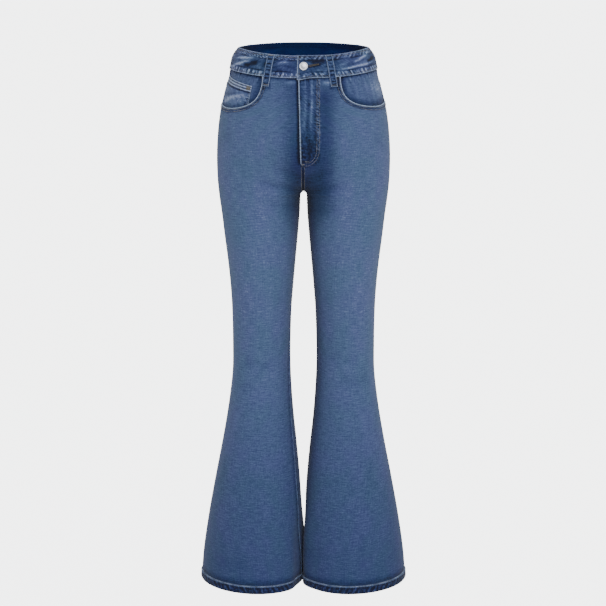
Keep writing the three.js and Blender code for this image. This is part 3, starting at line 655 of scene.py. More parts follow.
even_steps = np.linspace(0, 1, PANEL_COLUMNS)
panel_steps = mix(even_steps, (1 - np.cos(np.pi * even_steps)) / 2, 0.55)
above_crotch = CROTCH + 95 * (1 - np.sqrt(1 - np.linspace(0.9, 0, 26) ** 2))
below_crotch = CROTCH - 8 * (1 - np.cos(np.linspace(0.1, np.pi / 2, 12)))
LOWER_ROWS = np.concatenate([
    np.linspace(-154, -214, 16),
    above_crotch,
    below_crotch,
    np.linspace(-284, HEM_TOP + 0.02, 150),
])
for side, word in ((1, "left"), (-1, "right")):
    mouth_girth, mouth_height = mouth_curve(side, 0, MOUTH_ROWS)
    inside = np.concatenate([
        np.linspace(BAND_BOTTOM - GAP, MOUTH_LOW_INSIDE, MOUTH_ROWS),
        LOWER_ROWS,
    ])
    slant = BAND_BOTTOM - GAP - MOUTHS[side]["depth"] + MOUTHS[side]["rise"] - MOUTH_LOW_INSIDE
    end_height = LOWER_ROWS + slant * falling(LOWER_ROWS, MOUTH_LOW_INSIDE, SLANT_END)
    end_height = np.concatenate([mouth_height, end_height])[:, None]
    end_girth = np.concatenate([mouth_girth, 0 * LOWER_ROWS + 0.5 - SEAM_GIRTH])[:, None]
    start = np.where(inside > -222, girth_at(fly_limit(side, inside), inside), -0.003 * (side < 0))
    start = np.where(inside < CROTCH, SEAM_GIRTH, start)[:, None]
    girth = mix(start, end_girth, panel_steps[None, :])
    height = mix(inside[:, None], end_height, panel_steps[None, :])
    x = surface(side, girth, height)[0][..., 0] * side
    below_band = BAND_BOTTOM - height
    height = height - waist_drop(side, x) * falling(below_band, 0, 50)
    to_mouth = np.where(height > -150, from_mouth(side, girth, height), 99)
    from_inseam = np.where(height < CROTCH, girth * leg_girth(height), 99)
    mouth_run = np.arctan2(height + 40, (girth - 0.5) * HIP_GIRTH_LENGTH) * 90
    band = falling(to_mouth, 8, 9.5)
    felled = falling(from_inseam, 6.5, 8)
    lift = creased(FRONT_CREASES[side], girth, height)
    # Crease troughs are darkened as painted shade.
    wash_and_painted_shade = tone_with_painted_shade(side, girth, height) + 0.06 * lift
    lift = lift + 0.35 * band * (1 + 0.6 * ripple(mouth_run, 5.5, 3)) + 0.35 * felled
    wash_and_painted_shade = wash_and_painted_shade + band * (0.16 * ripple(mouth_run + to_mouth, 6.5, 3) - 0.3)
    # Painted shade in two lines beside the ridge of the felled inseam.
    wash_and_painted_shade = wash_and_painted_shade - 0.2 * bell(from_inseam, 6, 2) - 0.1 * bell(from_inseam, 10, 2.5)
    wear = falling(to_mouth, 1.2, 2.2)
    wear = np.maximum(wear, falling(from_inseam, 1.4, 2.8) * (0.34 + 0.3 * ripple(height, 6, 8)))
    pucker = 0.2 * band + 0.16 * felled
    # Painted shadow just under the waistband.
    wash_and_painted_shade = wash_and_painted_shade - 0.4 * falling(below_band, 1, 6)
    edge_of_fly = 34 if side > 0 else 12
    rubbed = smooth((x - edge_of_fly) / 4) * falling(x, edge_of_fly + 10, edge_of_fly + 30)
    wash_and_painted_shade = wash_and_painted_shade + 0.3 * rubbed * bell(below_band - 0.1 * x, 6, 3)
    # Painted shadow of the belt loop on the panel, round and just below its lower end.
    loop_shadow_x = 56 if side > 0 else 69
    wash_and_painted_shade = wash_and_painted_shade - 0.3 * falling(np.abs(x - loop_shadow_x), 6, 11) * falling(-height, 60, 66)
    centre_seam = falling(-height, 200, 216)
    if side > 0:
        # The flap. Streaks run down it, each with a place across, a width, a gain in shade, and
        # the height and spread of its strongest part.
        in_fly = falling(x, 27, 30) * centre_seam
        sway = x + 0.9 * np.sin(height / 31) + 0.5 * np.sin(height / 12)
        streaks = [
            (-4.5, 2.4, 0.2, -142, 24),
            (-4, 3, -0.16, -80, 34),
            (2.8, 1, 0.3, -110, 60),
            (8.5, 2.4, -0.26, -100, 90),
            (14.5, 1.9, 0.5, -92, 48),
            (23, 2.6, -0.2, -100, 90),
        ]
        for seed, (place, width, gain, middle, spread) in enumerate(streaks):
            strength = gain * bell(height, middle, spread) * (0.85 + 0.5 * ripple(height, 34, seed))
            wash_and_painted_shade = wash_and_painted_shade + in_fly * strength * bell(sway, place, width)
        wash_and_painted_shade = wash_and_painted_shade + in_fly * (0.08 * bell(height, -90, 60) - 0.14)
        wash_and_painted_shade = wash_and_painted_shade - 0.22 * bell(x, 12.6, 4.2) * bell(height, -176, 17) * in_fly
        folds = bell(x, -0.5, 3.4) * bell(height, -188, 16)
        wash_and_painted_shade = wash_and_painted_shade + folds * (0.6 * np.sin(2 * np.pi * (height + 0.4 * x) / 7.4) - 0.1) * in_fly
        row_x, row_level = fly_curve(2.5, 90)
        from_row = np.hypot(x[..., None] - row_x, height[..., None] - row_level).min(-1)
        from_row = np.where(height > -220, from_row, 99)
        foot = smooth((-height - 176) / 14)
        speckle = falling(from_row, 3, 4.5) * (1 - foot)
        from_fold = x + fly_edge(height)
        wear = np.maximum(wear, falling(from_fold, 1.1, 2.2) * centre_seam)
        wash_and_painted_shade = wash_and_painted_shade - 0.22 * bell(from_fold, 3.2, 1.2) * centre_seam
        wear = np.maximum(wear, 0.2 * speckle * smooth(ripple(height + x, 3.4, 19) * 2))
        wash_and_painted_shade = wash_and_painted_shade - 0.14 * foot * bell(from_row, 4.6, 1.4)
        pucker = pucker + 0.1 * in_fly + 0.22 * speckle
        lift = lift + fly_lift(height, x) + 0.2 * in_fly * bell(sway, 15.5, 3)
        below_fly = (1 - centre_seam) * (height > CROTCH)
        wash_and_painted_shade = wash_and_painted_shade - 0.3 * bell(x, -1, 4) * below_fly + 0.3 * bell(x, 3.2, 1.2) * below_fly
    else:
        # Painted shadow of the folded flap on the cloth beside its edge.
        beside = x - fly_edge(height)
        wash_and_painted_shade = wash_and_painted_shade - 0.5 * falling(beside, 1, 7) * centre_seam
        below_fly = (1 - centre_seam) * (height > CROTCH)
        wash_and_painted_shade = wash_and_painted_shade - 0.35 * bell(x, 1, 3) * below_fly + 0.3 * bell(x, 4.6, 1.2) * below_fly
        lift = lift * falling(-x, 0, 8)
    panel = cloth(
        f"front_panel_{word}", side, girth, height, lift, lift - CLOTH, wash_and_painted_shade, wear, pucker, DENIM,
        limit=lambda h, s=side: fly_limit(s, h),
    )
    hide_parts(f"front_{word}")

    # Two rows of topstitch follow the pocket mouth, one the inseam and one the seam under the
    # fly. The flap has two rows that curve in at its foot, and two bar tacks there.
    rows = [sewn(side, *mouth_curve(side, inset, 160), 0.75) for inset in (3.4, 7.4)]
    level = np.linspace(CROTCH - 14, HEM_TOP + 2, 200)
    inseam = [sewn(side, 3.2 / leg_girth(level), level, 0.5)]
    level = np.linspace(-213, CROTCH + 1, 60)
    rows.append(sewn(side, girth_off((2 if side > 0 else 4) + 0 * level, level), level, 0.35))
    if side > 0:
        for away in (0, 5):
            stitch_x, level = fly_curve(away, 120)
            rows.append(sewn(1, girth_at(stitch_x, level), level, fly_lift(level, stitch_x) + 0.1))
    thread(f"front_topstitch_{word}", rows, ecru_thread)
    thread(f"front_inseam_stitch_{word}", inseam, blue_thread)
tacks = []
for start_x, end_x, level in ((3, 11, -203), (-4, 2, -209)):
    across = np.linspace(start_x, end_x, 14)
    level = level + 0 * across
    tacks.append(tacked(1, girth_at(across, level), level, fly_lift(level, across) + 0.3, 2.6, 0.9))
thread("fly_tacks", tacks, ecru_thread)

# Back panels. Each is one piece of the same denim from the yoke seam to the hem. The two are
# felled together down the seat, and each is felled to its front along the inseam and closed at
# the outseam. Their faces are hidden in the photograph, so their few creases are a guess.
YOKE_SIDE = -72
YOKE_CENTRE = -112
BACK_CREASES = {
    1: [
        (0.9, -262, -22, 90, 8, -1.3),
        (0.84, -300, -12, 110, 10, -1.2),
        (0.78, -268, 8, 70, 8, -0.8),
        (0.72, -566, 5, 100, 9, -1.4),
        (0.8, -596, -8, 84, 8, -1.5),
        (0.7, -632, 4, 96, 10, -1.1),
        (0.66, -985, 6, 74, 12, -0.8),
    ],
    -1: [
        (0.91, -256, -26, 76, 7, -1.1),
        (0.86, -293, -14, 120, 10, -1.3),
        (0.74, -276, 10, 60, 9, -0.9),
        (0.76, -574, -6, 92, 9, -1.3),
        (0.7, -608, 7, 110, 9, -1.6),
        (0.8, -646, -3, 70, 9, -0.9),
        (0.8, -962, -5, 66, 12, -0.7),
    ],
}


def yoke_seam(girth):
    """Height of the seam between yoke and back panel, falling straight to the centre back."""
    return mix(YOKE_SIDE, YOKE_CENTRE, (girth - 0.5) / 0.5)


def seat_limit(height):
    """Least distance of a back piece past the centre line, a hair, so that no light passes."""
    return 0.04 + 0 * height


middle = (YOKE_SIDE + YOKE_CENTRE) / 2
for side, word in ((1, "left"), (-1, "right")):
    level = np.concatenate([np.linspace(middle, -150, 16), LOWER_ROWS])[:, None]
    girth = mix(0.5 + SEAM_GIRTH, np.where(level < CROTCH, 1 - SEAM_GIRTH, 1), panel_steps[None, :])
    height = level + (yoke_seam(girth) - GAP / 2 - middle) * falling(level, middle, SLANT_END)
    x = surface(side, girth, height)[0][..., 0] * side
    from_inseam = np.where(height < CROTCH, (1 - girth) * leg_girth(height), 99)
    from_seat = np.where(height > CROTCH, x, 99)
    felled = falling(from_seat, 7, 8.5) * (side > 0)
    lift = creased(BACK_CREASES[side], girth, height)
    # Crease troughs are darkened as painted shade.
    wash_and_painted_shade = tone_with_painted_shade(side, girth, height) + 0.06 * lift
    wash_and_painted_shade = wash_and_painted_shade + 0.06 * bell(girth, 0.77, 0.13) * bell(height, -200, 70)
    lift = lift + 0.35 * felled
    # The second term is painted shadow just under the lapped edge of the yoke.
    wash_and_painted_shade = wash_and_painted_shade - 0.1 * felled - 0.16 * falling(yoke_seam(girth) - height, 1, 4)
    # Painted shade towards the inseam, between the legs.
    wash_and_painted_shade = wash_and_painted_shade - 0.12 * falling(from_inseam, 12, 30)
    wear = 0.35 * felled * smooth(ripple(height, 5, 22) * 2)
    wear = np.maximum(wear, 0.5 * falling(from_seat, 0.8, 1.8) * (side > 0))
    pucker = 0.18 * felled + 0.12 * falling(from_inseam, 5, 8)
    panel = cloth(
        f"back_panel_{word}", side, girth, height, lift, lift - CLOTH, wash_and_painted_shade, wear, pucker, DENIM, seat_limit
    )
    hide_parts(f"back_{word}")
level = np.linspace(-47, CROTCH + 3, 90)
seat_rows = [
    sewn(1, 1 - girth_at(0 * level + away, level), level, 0.4 * (level < YOKE_CENTRE)) for away in (1.8, 6.2)
]
thread("seat_topstitch", seat_rows, ecru_thread)

# Yokes. Each is a shaped strip of denim that fits the back waist into the seat. Its lower edge
# is felled over the back panel with two rows of topstitch.
for side, word in ((1, "left"), (-1, "right")):
    girth = mix(0.5 + SEAM_GIRTH, 1, panel_steps[None, :]) + np.zeros((20, 1))
    height = mix(BAND_BOTTOM - GAP, yoke_seam(girth) + GAP / 2, np.linspace(0, 1, 20)[:, None])
    to_seam = height - yoke_seam(girth)
    along = girth * HIP_GIRTH_LENGTH
    felled = falling(to_seam, 7.5, 9)
    lift = 0.35 * felled * (1 + 0.5 * ripple(along, 6, 25))
    wash_and_painted_shade = 0.62 + felled * (0.14 * ripple(along + to_seam, 6, 25) - 0.16)
    # Painted shadow just under the waistband.
    wash_and_painted_shade = wash_and_painted_shade - 0.3 * falling(BAND_BOTTOM - height, 1, 5)
    wear = 0.7 * falling(to_seam, 0.8, 1.8)
    piece = cloth(
        f"yoke_panel_{word}", side, girth, height, lift, -CLOTH, wash_and_painted_shade, wear, 0.2 * felled, DENIM, seat_limit
    )
    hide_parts(f"yoke_{word}")
    path = np.linspace(0.502, 0.998, 120)
    rows = [sewn(side, path, yoke_seam(path) + away, 0.5) for away in (2, 6.4)]
    thread(f"yoke_topstitch_{word}", rows, ecru_thread)

# Zip, under the closed fly. Woven navy tape, with a cast brass slider and pull in a silver
# finish, which keep the frame's own shapes. Behind them is the shield, a strip of denim.
tape, tree, shader = new_material("woven_zip_tape", Roughness=0.85, Specular_IOR_Level=0.3)
place = add_node(tree, "ShaderNodeTexCoord")
# Tape ribs are about 0.8 mm apart.
ribs = {"Vector": place.outputs["Object"], "Scale": (0.314 / 0.0008,) * 3}
ribs = add_node(tree, "ShaderNodeMapping", ribs)
ribs = add_node(tree, "ShaderNodeTexWave", {"Vector": ribs.outputs[0], "Scale": 1}, bands_direction="Z")
shade = add_node(tree, "ShaderNodeValToRGB", {0: ribs.outputs[0]})
shade.color_ramp.elements[0].color = linear("#131f3b")
shade.color_ramp.elements[1].color = linear("#22335a")
tree.links.new(shade.outputs[0], shader.inputs["Base Color"])
# Silver-plated brass, tumbled: bright, with fine scuffs that break up its gloss.
silver, tree, shader = new_material("tumbled_silver_plate", Metallic=1.0)
place = add_node(tree, "ShaderNodeTexCoord")
scuffs = add_node(tree, "ShaderNodeTexNoise", {"Vector": place.outputs["Object"], "Scale": 900, "Detail": 4})
rough = add_node(tree, "ShaderNodeMapRange", {0: scuffs.outputs[0], 1: 0.3, 2: 0.7, 3: 0.26, 4: 0.42})
tree.links.new(rough.outputs[0], shader.inputs["Roughness"])
shade = add_node(tree, "ShaderNodeValToRGB", {0: scuffs.outputs[0]})
shade.color_ramp.elements[0].color = linear("#c6cedb")
shade.color_ramp.elements[1].color = linear("#eef1f5")
tree.links.new(shade.outputs[0], shader.inputs["Base Color"])
for node, finish in (("zip_tape", tape), ("zip_slider", silver), ("zip_pull", silver)):
    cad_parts[node].data.materials.clear()
    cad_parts[node].data.materials.append(finish)
level = np.linspace(-41, -203, 60)[:, None]
shield_edge = mix(2, 27, np.sqrt(1 - (0.97 * np.clip((-165 - level) / 40, 0, 1)) ** 2))
x = mix(-18, shield_edge, np.linspace(0, 1, 12)[None, :])
height = level + 0 * x
shield = cloth(
    "fly_shield_denim", 1, girth_at(x, height), height, -2.6, -3.8, 0.4, 0, 0, [inside_denim_painted_dark, inside_denim_painted_dark]
)
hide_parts("fly_shield")

# Hip pocket facings. Each is a piece of denim behind the scooped mouth, sewn in at the waist and
# the side, where it comes up to the seam. It fades where the hand rubs it, and the shadow of the
# mouth's edge is painted on it as darker shade.
for side, word, depth in ((1, "left", -2.1), (-1, "right", -4.2)):
    down = 0.96 * np.linspace(0, 1, 46)[:, None]
    edge = 0.5 - 0.385 * (1 - down**3) ** (1 / 3)
    girth = mix(edge, 0.5 - SEAM_GIRTH, np.linspace(0, 1, 60)[None, :])
    height = BAND_BOTTOM - GAP - 84 * down + 0 * girth
    # Painted shadow of the pocket mouth's edge on the facing.
    mouth_shadow = falling(from_mouth(side, girth, height), 1, 16)
    right, up = girth * HIP_GIRTH_LENGTH, height
    spot = bell(girth, 0.4, 0.08) * bell(height + 0.1 * right, -56, 15)
    wash_and_painted_shade = 0.62 - 0.4 * mouth_shadow + 0.26 * spot + 0.07 * ripple(right, 16, 31)
    wash_and_painted_shade = wash_and_painted_shade + 0.16 * falling(BAND_BOTTOM - height, 8, 22) * ripple(right + 0.5 * up, 11, 32)
    # Painted shadow just under the waistband.
    wash_and_painted_shade = wash_and_painted_shade - 0.4 * falling(BAND_BOTTOM - height, 1, 6)
    to_side = falling(0.5 - girth, 0.002, 0.03)
    covered = (side < 0) * falling(-height, 54, 50) + (side > 0)
    lift = depth + to_side * mix(2.2, -0.5 - depth, covered)
    pucker = 0.08 * falling(BAND_BOTTOM - height, 8, 16)
    piece = cloth(
        f"pocket_lining_{word}", side, girth, height, lift, lift - CLOTH, wash_and_painted_shade, 0, pucker, DENIM
    )
    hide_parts(f"pocket_facing_{word}")

# Coin pocket, on the wearer's right facing. A small patch of denim with a turned top edge, two
# rows of pale stitching along it and a golden bar tack at its corner. Its edges are abraded.
COIN_INNER = 0.218
COIN_TOP = (-60.5, -52)
COIN_BOTTOM = -119
girth = mix(COIN_INNER, 0.5 - SEAM_GIRTH, np.linspace(0, 1, 70)[None, :]) + np.zeros((56, 1))
top = mix(*COIN_TOP, (girth - COIN_INNER) / (0.5 - COIN_INNER))
height = mix(top, COIN_BOTTOM, np.linspace(0, 1, 56)[:, None])
from_top, from_side = top - height, (girth - COIN_INNER) * HIP_GIRTH_LENGTH
turned = falling(from_top, 11, 12.5)
folded = falling(from_side, 8, 9.5)
# Painted shadow cast by the edge of the pocket mouth.
mouth_shadow = falling(from_mouth(-1, girth, height), 1, 12)
diagonal = bell(from_top, 22 + 0.4 * (from_side - 30), 5) - bell(from_top, 13.5 + 0.2 * from_side, 3)
wash_and_painted_shade = 0.75 - 0.34 * mouth_shadow + 0.24 * diagonal + 0.08 * ripple(from_side + from_top, 17, 34)
# A line of painted shadow under the turned top edge, and painted shade in the hollows between its pale, worn
# ridges.
wash_and_painted_shade = wash_and_painted_shade - 0.7 * bell(from_top, 13, 1.8) + turned * (0.5 * np.cos(from_top * 2 * np.pi / 5) - 0.1)
dashes = folded * (1 - turned)
wash_and_painted_shade = wash_and_painted_shade + dashes * (0.34 * ripple(from_top, 6, 35) - 0.16)
to_side = falling(0.5 - girth, 0.002, 0.03)
wear = 0.8 * falling(from_top, 0.7, 1.6) + 0.6 * falling(from_side, 0.6, 1.5)
wear = np.maximum(wear, 0.8 * turned * smooth(np.cos(from_top * 2 * np.pi / 5)))
base = -2.1 + 1.7 * to_side
lift = base + 0.3 * turned * (1 + 0.4 * ripple(from_side, 6, 36)) + 0.15 * folded
pucker = 0.05 + 0.16 * np.maximum(turned, folded)
coin = cloth("coin_pocket_denim", -1, girth, height, lift, base - CLOTH, wash_and_painted_shade, wear, pucker, DENIM)
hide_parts("coin_pocket")
path = np.linspace(COIN_INNER + 0.006, 0.497, 90)
coin_top = mix(*COIN_TOP, (path - COIN_INNER) / (0.5 - COIN_INNER))
rows = [sewn(-1, path, coin_top - away, -1.75) for away in (2.5, 7.5)]
level = np.linspace(COIN_TOP[0] - 14, -104, 50)
rows.append(sewn(-1, 0 * level + COIN_INNER + 0.007, level, -1.9))
thread("coin_pocket_topstitch", rows, ecru_thread)
path = np.linspace(COIN_INNER + 0.004, COIN_INNER + 0.03, 12)
coin_top = mix(*COIN_TOP, (path - COIN_INNER) / (0.5 - COIN_INNER))
tack = [tacked(-1, path, coin_top - 5.6, -1.7, 9, 1.3)]
thread("coin_pocket_tack", tack, golden_thread, 0.45)

# Back patch pockets. Each is a plain five-cornered piece of denim with a turned top edge, sewn
# on round its sides and point with two rows of topstitch and tacked at its top corners.
POCKET_GIRTH = 0.795
POCKET_HALF = (0.134, 0.116)
POCKET_TOP = -121
POCKET_HEIGHT = 112
POCKET_POINT = 15


def pocket_place(across, down):
    """Girth and height on a patch pocket, from -1 to 1 across and 0 to 1 down to its point."""
    girth = POCKET_GIRTH + across * mix(*POCKET_HALF, down)
    return girth, POCKET_TOP - (POCKET_HEIGHT + POCKET_POINT * (1 - np.abs(across))) * down


for side, word in ((1, "left"), (-1, "right")):
    across, down = np.linspace(-1, 1, 61)[None, :], np.linspace(0, 1, 62)[:, None]
    girth, height = pocket_place(across, down)
    to_side = (1 - np.abs(across)) * 50 + 0 * down
    to_low = (1 - down) * 112 + 0 * across
    to_top = down * 112 + 0 * across
    to_edge = np.minimum(to_side, to_low)
    border = falling(to_edge, 7, 8.5)
    turned = falling(to_top, 14, 15.5)
    around = np.where(to_side < to_low, height, girth * HIP_GIRTH_LENGTH)
    lift = 1.65 + 0.25 * border * (1 + 0.5 * ripple(around, 6, 41)) + 0.25 * turned
    wash_and_painted_shade = 0.69 + 0.1 * bell(across, 0, 0.6) * bell(down, 0.5, 0.35)
    wash_and_painted_shade = wash_and_painted_shade + border * (0.14 * ripple(around + to_edge, 6, 41) - 0.2) - 0.1 * turned
    wear = 0.8 * falling(np.minimum(to_edge, to_top), 0.6, 1.6)
    pucker = 0.2 * np.maximum(border, turned)
    piece = cloth(f"patch_pocket_{word}", side, girth, height, lift, 0.45, wash_and_painted_shade, wear, pucker, DENIM)
    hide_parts(f"back_pocket_{word}")
    rows, tacks = [], []
    for inset in (2.2, 6.4):
        share, low = 1 - inset / 50, 1 - inset / 112
        turns = np.array([[-share, 0.015], [-share, low], [0, low], [share, low], [share, 0.015]])
        run = np.linspace(0, 4, 320)
        path = [np.interp(run, np.arange(5), turns[:, k]) for k in (0, 1)]
        rows.append(sewn(side, *pocket_place(*path), 2))
    path = np.linspace(-0.98, 0.98, 60)
    rows.append(sewn(side, *pocket_place(path, 0 * path + 0.12), 2))
    for end in (-0.93, 0.93):
        path = np.linspace(0.01, 0.085, 14)
        tacks.append(tacked(side, *pocket_place(end + 0 * path, path), 2.1, 3))
    thread(f"patch_pocket_topstitch_{word}", rows, ecru_thread)
    thread(f"patch_pocket_tacks_{word}", tacks, golden_thread, 0.5)

# Waistband. One long strip of denim folded double over the top of the panels. It is stitched
# along both edges, where the wash has roped it into pale and dark slants, and it laps at the fly.
BAND_CREASES = {
    1: [
        (0.27, -25, 3, 120, 2.4, 0.6),
        (0.3, -12, 11, 84, 2.4, 0.6),
        (0.37, -19, 7, 50, 4, -0.6),
        (0.08, -28, 40, 26, 2.6, 0.5),
        (0.05, -12, 8, 30, 4, -0.5),
        (0.7, -20, 12, 60, 3, 0.5),
        (0.86, -16, -9, 70, 3, 0.5),
    ],
    -1: [
        (0.3, -13, -8, 80, 2.4, 0.6),
        (0.33, -25, -14, 90, 2.4, 0.6),
        (0.24, -21, -10, 44, 5, -0.6),
        (0.09, -15, -22, 40, 2.6, 0.5),
        (0.13, -18, 4, 40, 5, -0.5),
        (0.66, -22, -10, 60, 3, 0.5),
        (0.84, -18, 8, 76, 3, 0.5),
    ],
}
BAND_COLUMNS = 215
over_end, under_end = girth_at(-10.5, 0.0), girth_at(-22.0, 0.0)
over, under = np.linspace(over_end, 1, BAND_COLUMNS), np.linspace(1, under_end, BAND_COLUMNS)
girth = np.concatenate([over, under[1:]])
band_side = np.where(np.arange(len(girth)) < BAND_COLUMNS, 1, -1)
down = np.sort(np.concatenate([np.linspace(0, 1, 38), [0.012, 0.988]]))[:, None]
height = BAND_BOTTOM * down + 0 * girth
girth = girth + 0 * height
band_side = band_side + 0 * girth
points = surface(band_side, girth, height)[0]
x = points[..., 0] * band_side
drop = waist_drop(band_side, np.where(girth < 0.5, x, 99))
height = height - drop * down
lap = np.where(band_side > 0, 1.5, -1) * falling(x, 24, 44) * (girth < 0.5)
along = np.cumsum(np.linalg.norm(np.diff(points[..., :2], axis=1, prepend=points[:, :1, :2]), axis=-1), 1)
from_top, from_low = -height, height - BAND_BOTTOM + drop
strip = np.maximum(falling(from_top, 7.5, 9), falling(from_low, 8.5, 10))
slant = along + np.where(from_top < 20, 0.7, -0.7) * from_top
rope = ripple(slant, 8.4, 51) + 0.6 * ripple(slant, 4.2, 52)
crease = sum(np.where(band_side == s, creased(BAND_CREASES[s], girth, height), 0) for s in (1, -1))
lift = lap + 1 + 0.3 * strip * rope + crease
low_strip = falling(from_low, 8.5, 10)
streaks = ripple(0.2 * along + np.where(band_side > 0, 1, -1) * from_top, 9, 54)
# The creases are painted paler on their ridges and darker in their troughs, as painted light and shade.
wash_and_painted_shade = 0.42 + 0.14 * ripple(along + 0.6 * from_top, 44, 53) + 0.9 * crease + 0.14 * low_strip
wash_and_painted_shade = wash_and_painted_shade + 0.12 * streaks * (1 - strip) + strip * (0.42 * rope + 0.03)
wash_and_painted_shade = wash_and_painted_shade - 0.3 * bell(np.minimum(np.abs(from_top - 9), np.abs(from_low - 10.5)), 0, 1.5)
wash_and_painted_shade = wash_and_painted_shade - 0.3 * bell(from_top, 3.2, 1.1) - 0.3 * bell(from_low, 3.2, 1)
# The first term is painted shade at the side seams, where the band turns away.
wash_and_painted_shade = wash_and_painted_shade - 0.5 * bell(girth, 0.5, 0.035) + np.where(band_side > 0, 0.06, 0.1) * smooth((x - 55) / 30)
wash_and_painted_shade = wash_and_painted_shade - 0.16 * low_strip * bell(np.where(band_side > 0, x, 99), 18, 26)
wear = 0.9 * falling(from_top, 0.4, 1.3) + 0.9 * falling(from_low, 0.4, 1.4)
wear = np.maximum(wear, strip * 0.4 * smooth(rope - 0.1))
from_end = np.where((band_side > 0) & (girth < 0.3), x + 10.5, 99)
wear = np.maximum(wear, 0.8 * falling(from_end, 0.5, 1.6))
wash_and_painted_shade = wash_and_painted_shade - 0.2 * bell(from_end, 3, 1.2)
# The slit of the buttonhole is painted dark, as painted shade in its opening, and the cloth
# round the button is rubbed blue and pale.
slit_shade = bell(height, -22.4 + 0.16 * x, 2.2) * falling(np.abs(from_end - 30), 10, 14)
wash_and_painted_shade = wash_and_painted_shade - 0.4 * slit_shade + 0.14 * bell(from_end, 14, 16) * bell(height, -33, 6)
pucker = 0.08 + 0.14 * strip
band = cloth("waistband_denim", band_side, girth, height, lift, lap - 1.2, wash_and_painted_shade, wear, pucker, DENIM)
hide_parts("waistband")
path = np.linspace(over_end + 0.006, 0.999, 500)
x = np.where(path < 0.5, surface(1, path, -5.0 + 0 * path)[0][..., 0], 99)
lap = 1.5 * falling(x, 24, 44)
rows = [sewn(1, path, level + 0 * path, lap + 1.1) for level in (-3.4, BAND_BOTTOM + 3.2 - waist_drop(1, x))]
path = np.linspace(0.999, under_end + 0.004, 500)
lap = -1 * falling(-surface(-1, path, -5.0 + 0 * path)[0][..., 0], 24, 44) * (path < 0.5)
rows += [sewn(-1, path, 0 * path + level, lap + 1.1) for level in (-3.4, BAND_BOTTOM + 3.2)]
level = np.linspace(-4, BAND_BOTTOM + 1, 30)
rows.append(sewn(1, girth_at(-7.6 + 0 * level, level), level, 2.6))
thread("waistband_topstitch", rows, ecru_thread)

# Belt loops. Each is a narrow strip of denim folded in three, sewn in at the top of the
# waistband and tacked down below it. The folds are abraded and the middle is puckered and dark.
LOOP_TOP = -1
LOOP_BOTTOM = -58
LOOP_HALF = 6
loops = [
    ("front_left", 1, 45.2, 56.2, 0),
    ("front_right", -1, 58, 69.7, 0),
    ("back_left", 1, None, None, 0.7),
    ("back_right", -1, None, None, 0.7),
    ("back_centre", 1, None, None, 1.0),
]
for number, (word, side, top_x, bottom_x, centre) in enumerate(loops):
    down, across = np.linspace(0, 1, 60)[:, None], np.linspace(-1, 1, 19)[None, :]
    height = mix(LOOP_TOP, LOOP_BOTTOM, down) + 0 * across
    edge = across * LOOP_HALF
    if centre == 1:
        girth = 1 + girth_at(edge + 0 * height, height)
    elif top_x is None:
        girth = centre + edge / HIP_GIRTH_LENGTH + 0 * height
    else:
        girth = girth_at(mix(top_x, bottom_x, down) + edge, height)
    seat = smooth((height - BAND_BOTTOM + 5) / 5)
    held = np.clip((LOOP_TOP - height) / (LOOP_TOP - BAND_BOTTOM), 0, 1)
    inner = GAP + seat + 2 * np.sin(np.pi * held)
    from_side = (1 - np.abs(across)) * LOOP_HALF + 0 * height
    folded = falling(from_side, 1.8, 2.8)
    wave = ripple(height, 6.4, 60 + number)
    lift = inner + 1.4 + 0.2 * folded + 0.15 * wave * (1 - folded)
    wash_and_painted_shade = 0.46 + (1 - folded) * 0.9 * np.minimum(wave, 0.12)
    # The second term is painted shadow just above the loop's bottom tack.
    wash_and_painted_shade = wash_and_painted_shade - 0.24 * bell(from_side, 2.2, 0.8) - 0.5 * bell(height, LOOP_BOTTOM + 5, 1.6)
    to_end = np.minimum(LOOP_TOP - height, height - LOOP_BOTTOM)
    wear = 0.66 * falling(from_side, 0.4, 1.1) + 0.5 * falling(to_end, 0.5, 1.5)
    loop = cloth(f"loop_{word}", side, girth, height, lift, inner, wash_and_painted_shade, wear, 0.16, [face_denim, face_denim])
    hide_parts(f"belt_loop_{word}")
    rows, tacks = [], []
    for k in (3, 15):
        rows.append(sewn(side, girth[3:-3, k], height[3:-3, k], lift[3:-3, k] + 0.1))
    for k in (2, 56):
        tacks.append(tacked(side, girth[k, 1:-1], height[k, 1:-1], lift[k, 1:-1] + 0.1, 2.2, 0.8))
    thread(f"loop_topstitch_{word}", rows, blue_thread, 0.3)
    thread(f"loop_tacks_{word}", tacks, ecru_thread, 0.36)

# Button. A jeans shank button: a cap of plated brass rolled over its back, with a raised rim
# and a plain low dome, on a neck that is riveted through the waistband. It bears no mark.
BUTTON_HEIGHT = -19.5
profile = np.array([
    # distance from the axis and rise
    [0, 0],
    [4, 0],
    [4, 0.8],
    [7.3, 0.8],
    [7.75, 1.0],
    [7.9, 1.5],
    [7.85, 2.3],
    [7.55, 2.8],
    [7.0, 3.0],
    [6.5, 2.9],
    [6.15, 2.62],
    [5.7, 2.58],
    [4.6, 2.9],
    [3.0, 3.2],
    [1.4, 3.36],
    [0.5, 3.4],
    [0, 3.4],
])
BUTTON_TURNS = 64
centre, axis = surface(1, np.array(0.0), np.array(BUTTON_HEIGHT), 2.8)
right = np.cross(axis, [0, 0, 1])
right /= np.linalg.norm(right)
above = np.cross(right, axis)
turn = np.linspace(0, 2 * np.pi, BUTTON_TURNS, endpoint=False)[None, :, None]
out = np.cos(turn) * right + np.sin(turn) * above
rings = centre + profile[1:-1, :1, None] * out + profile[1:-1, 1:, None] * axis
points = np.concatenate([rings.reshape(-1, 3), [centre, centre + 3.4 * axis]])
count = len(profile) - 2
k, j = np.arange(count - 1)[:, None] * BUTTON_TURNS, np.arange(BUTTON_TURNS)[None, :]
ahead = (j + 1) % BUTTON_TURNS
walls = np.stack([k + j, k + ahead, k + BUTTON_TURNS + ahead, k + BUTTON_TURNS + j], -1)
walls = walls.reshape(-1, 4).tolist()
last = (count - 1) * BUTTON_TURNS
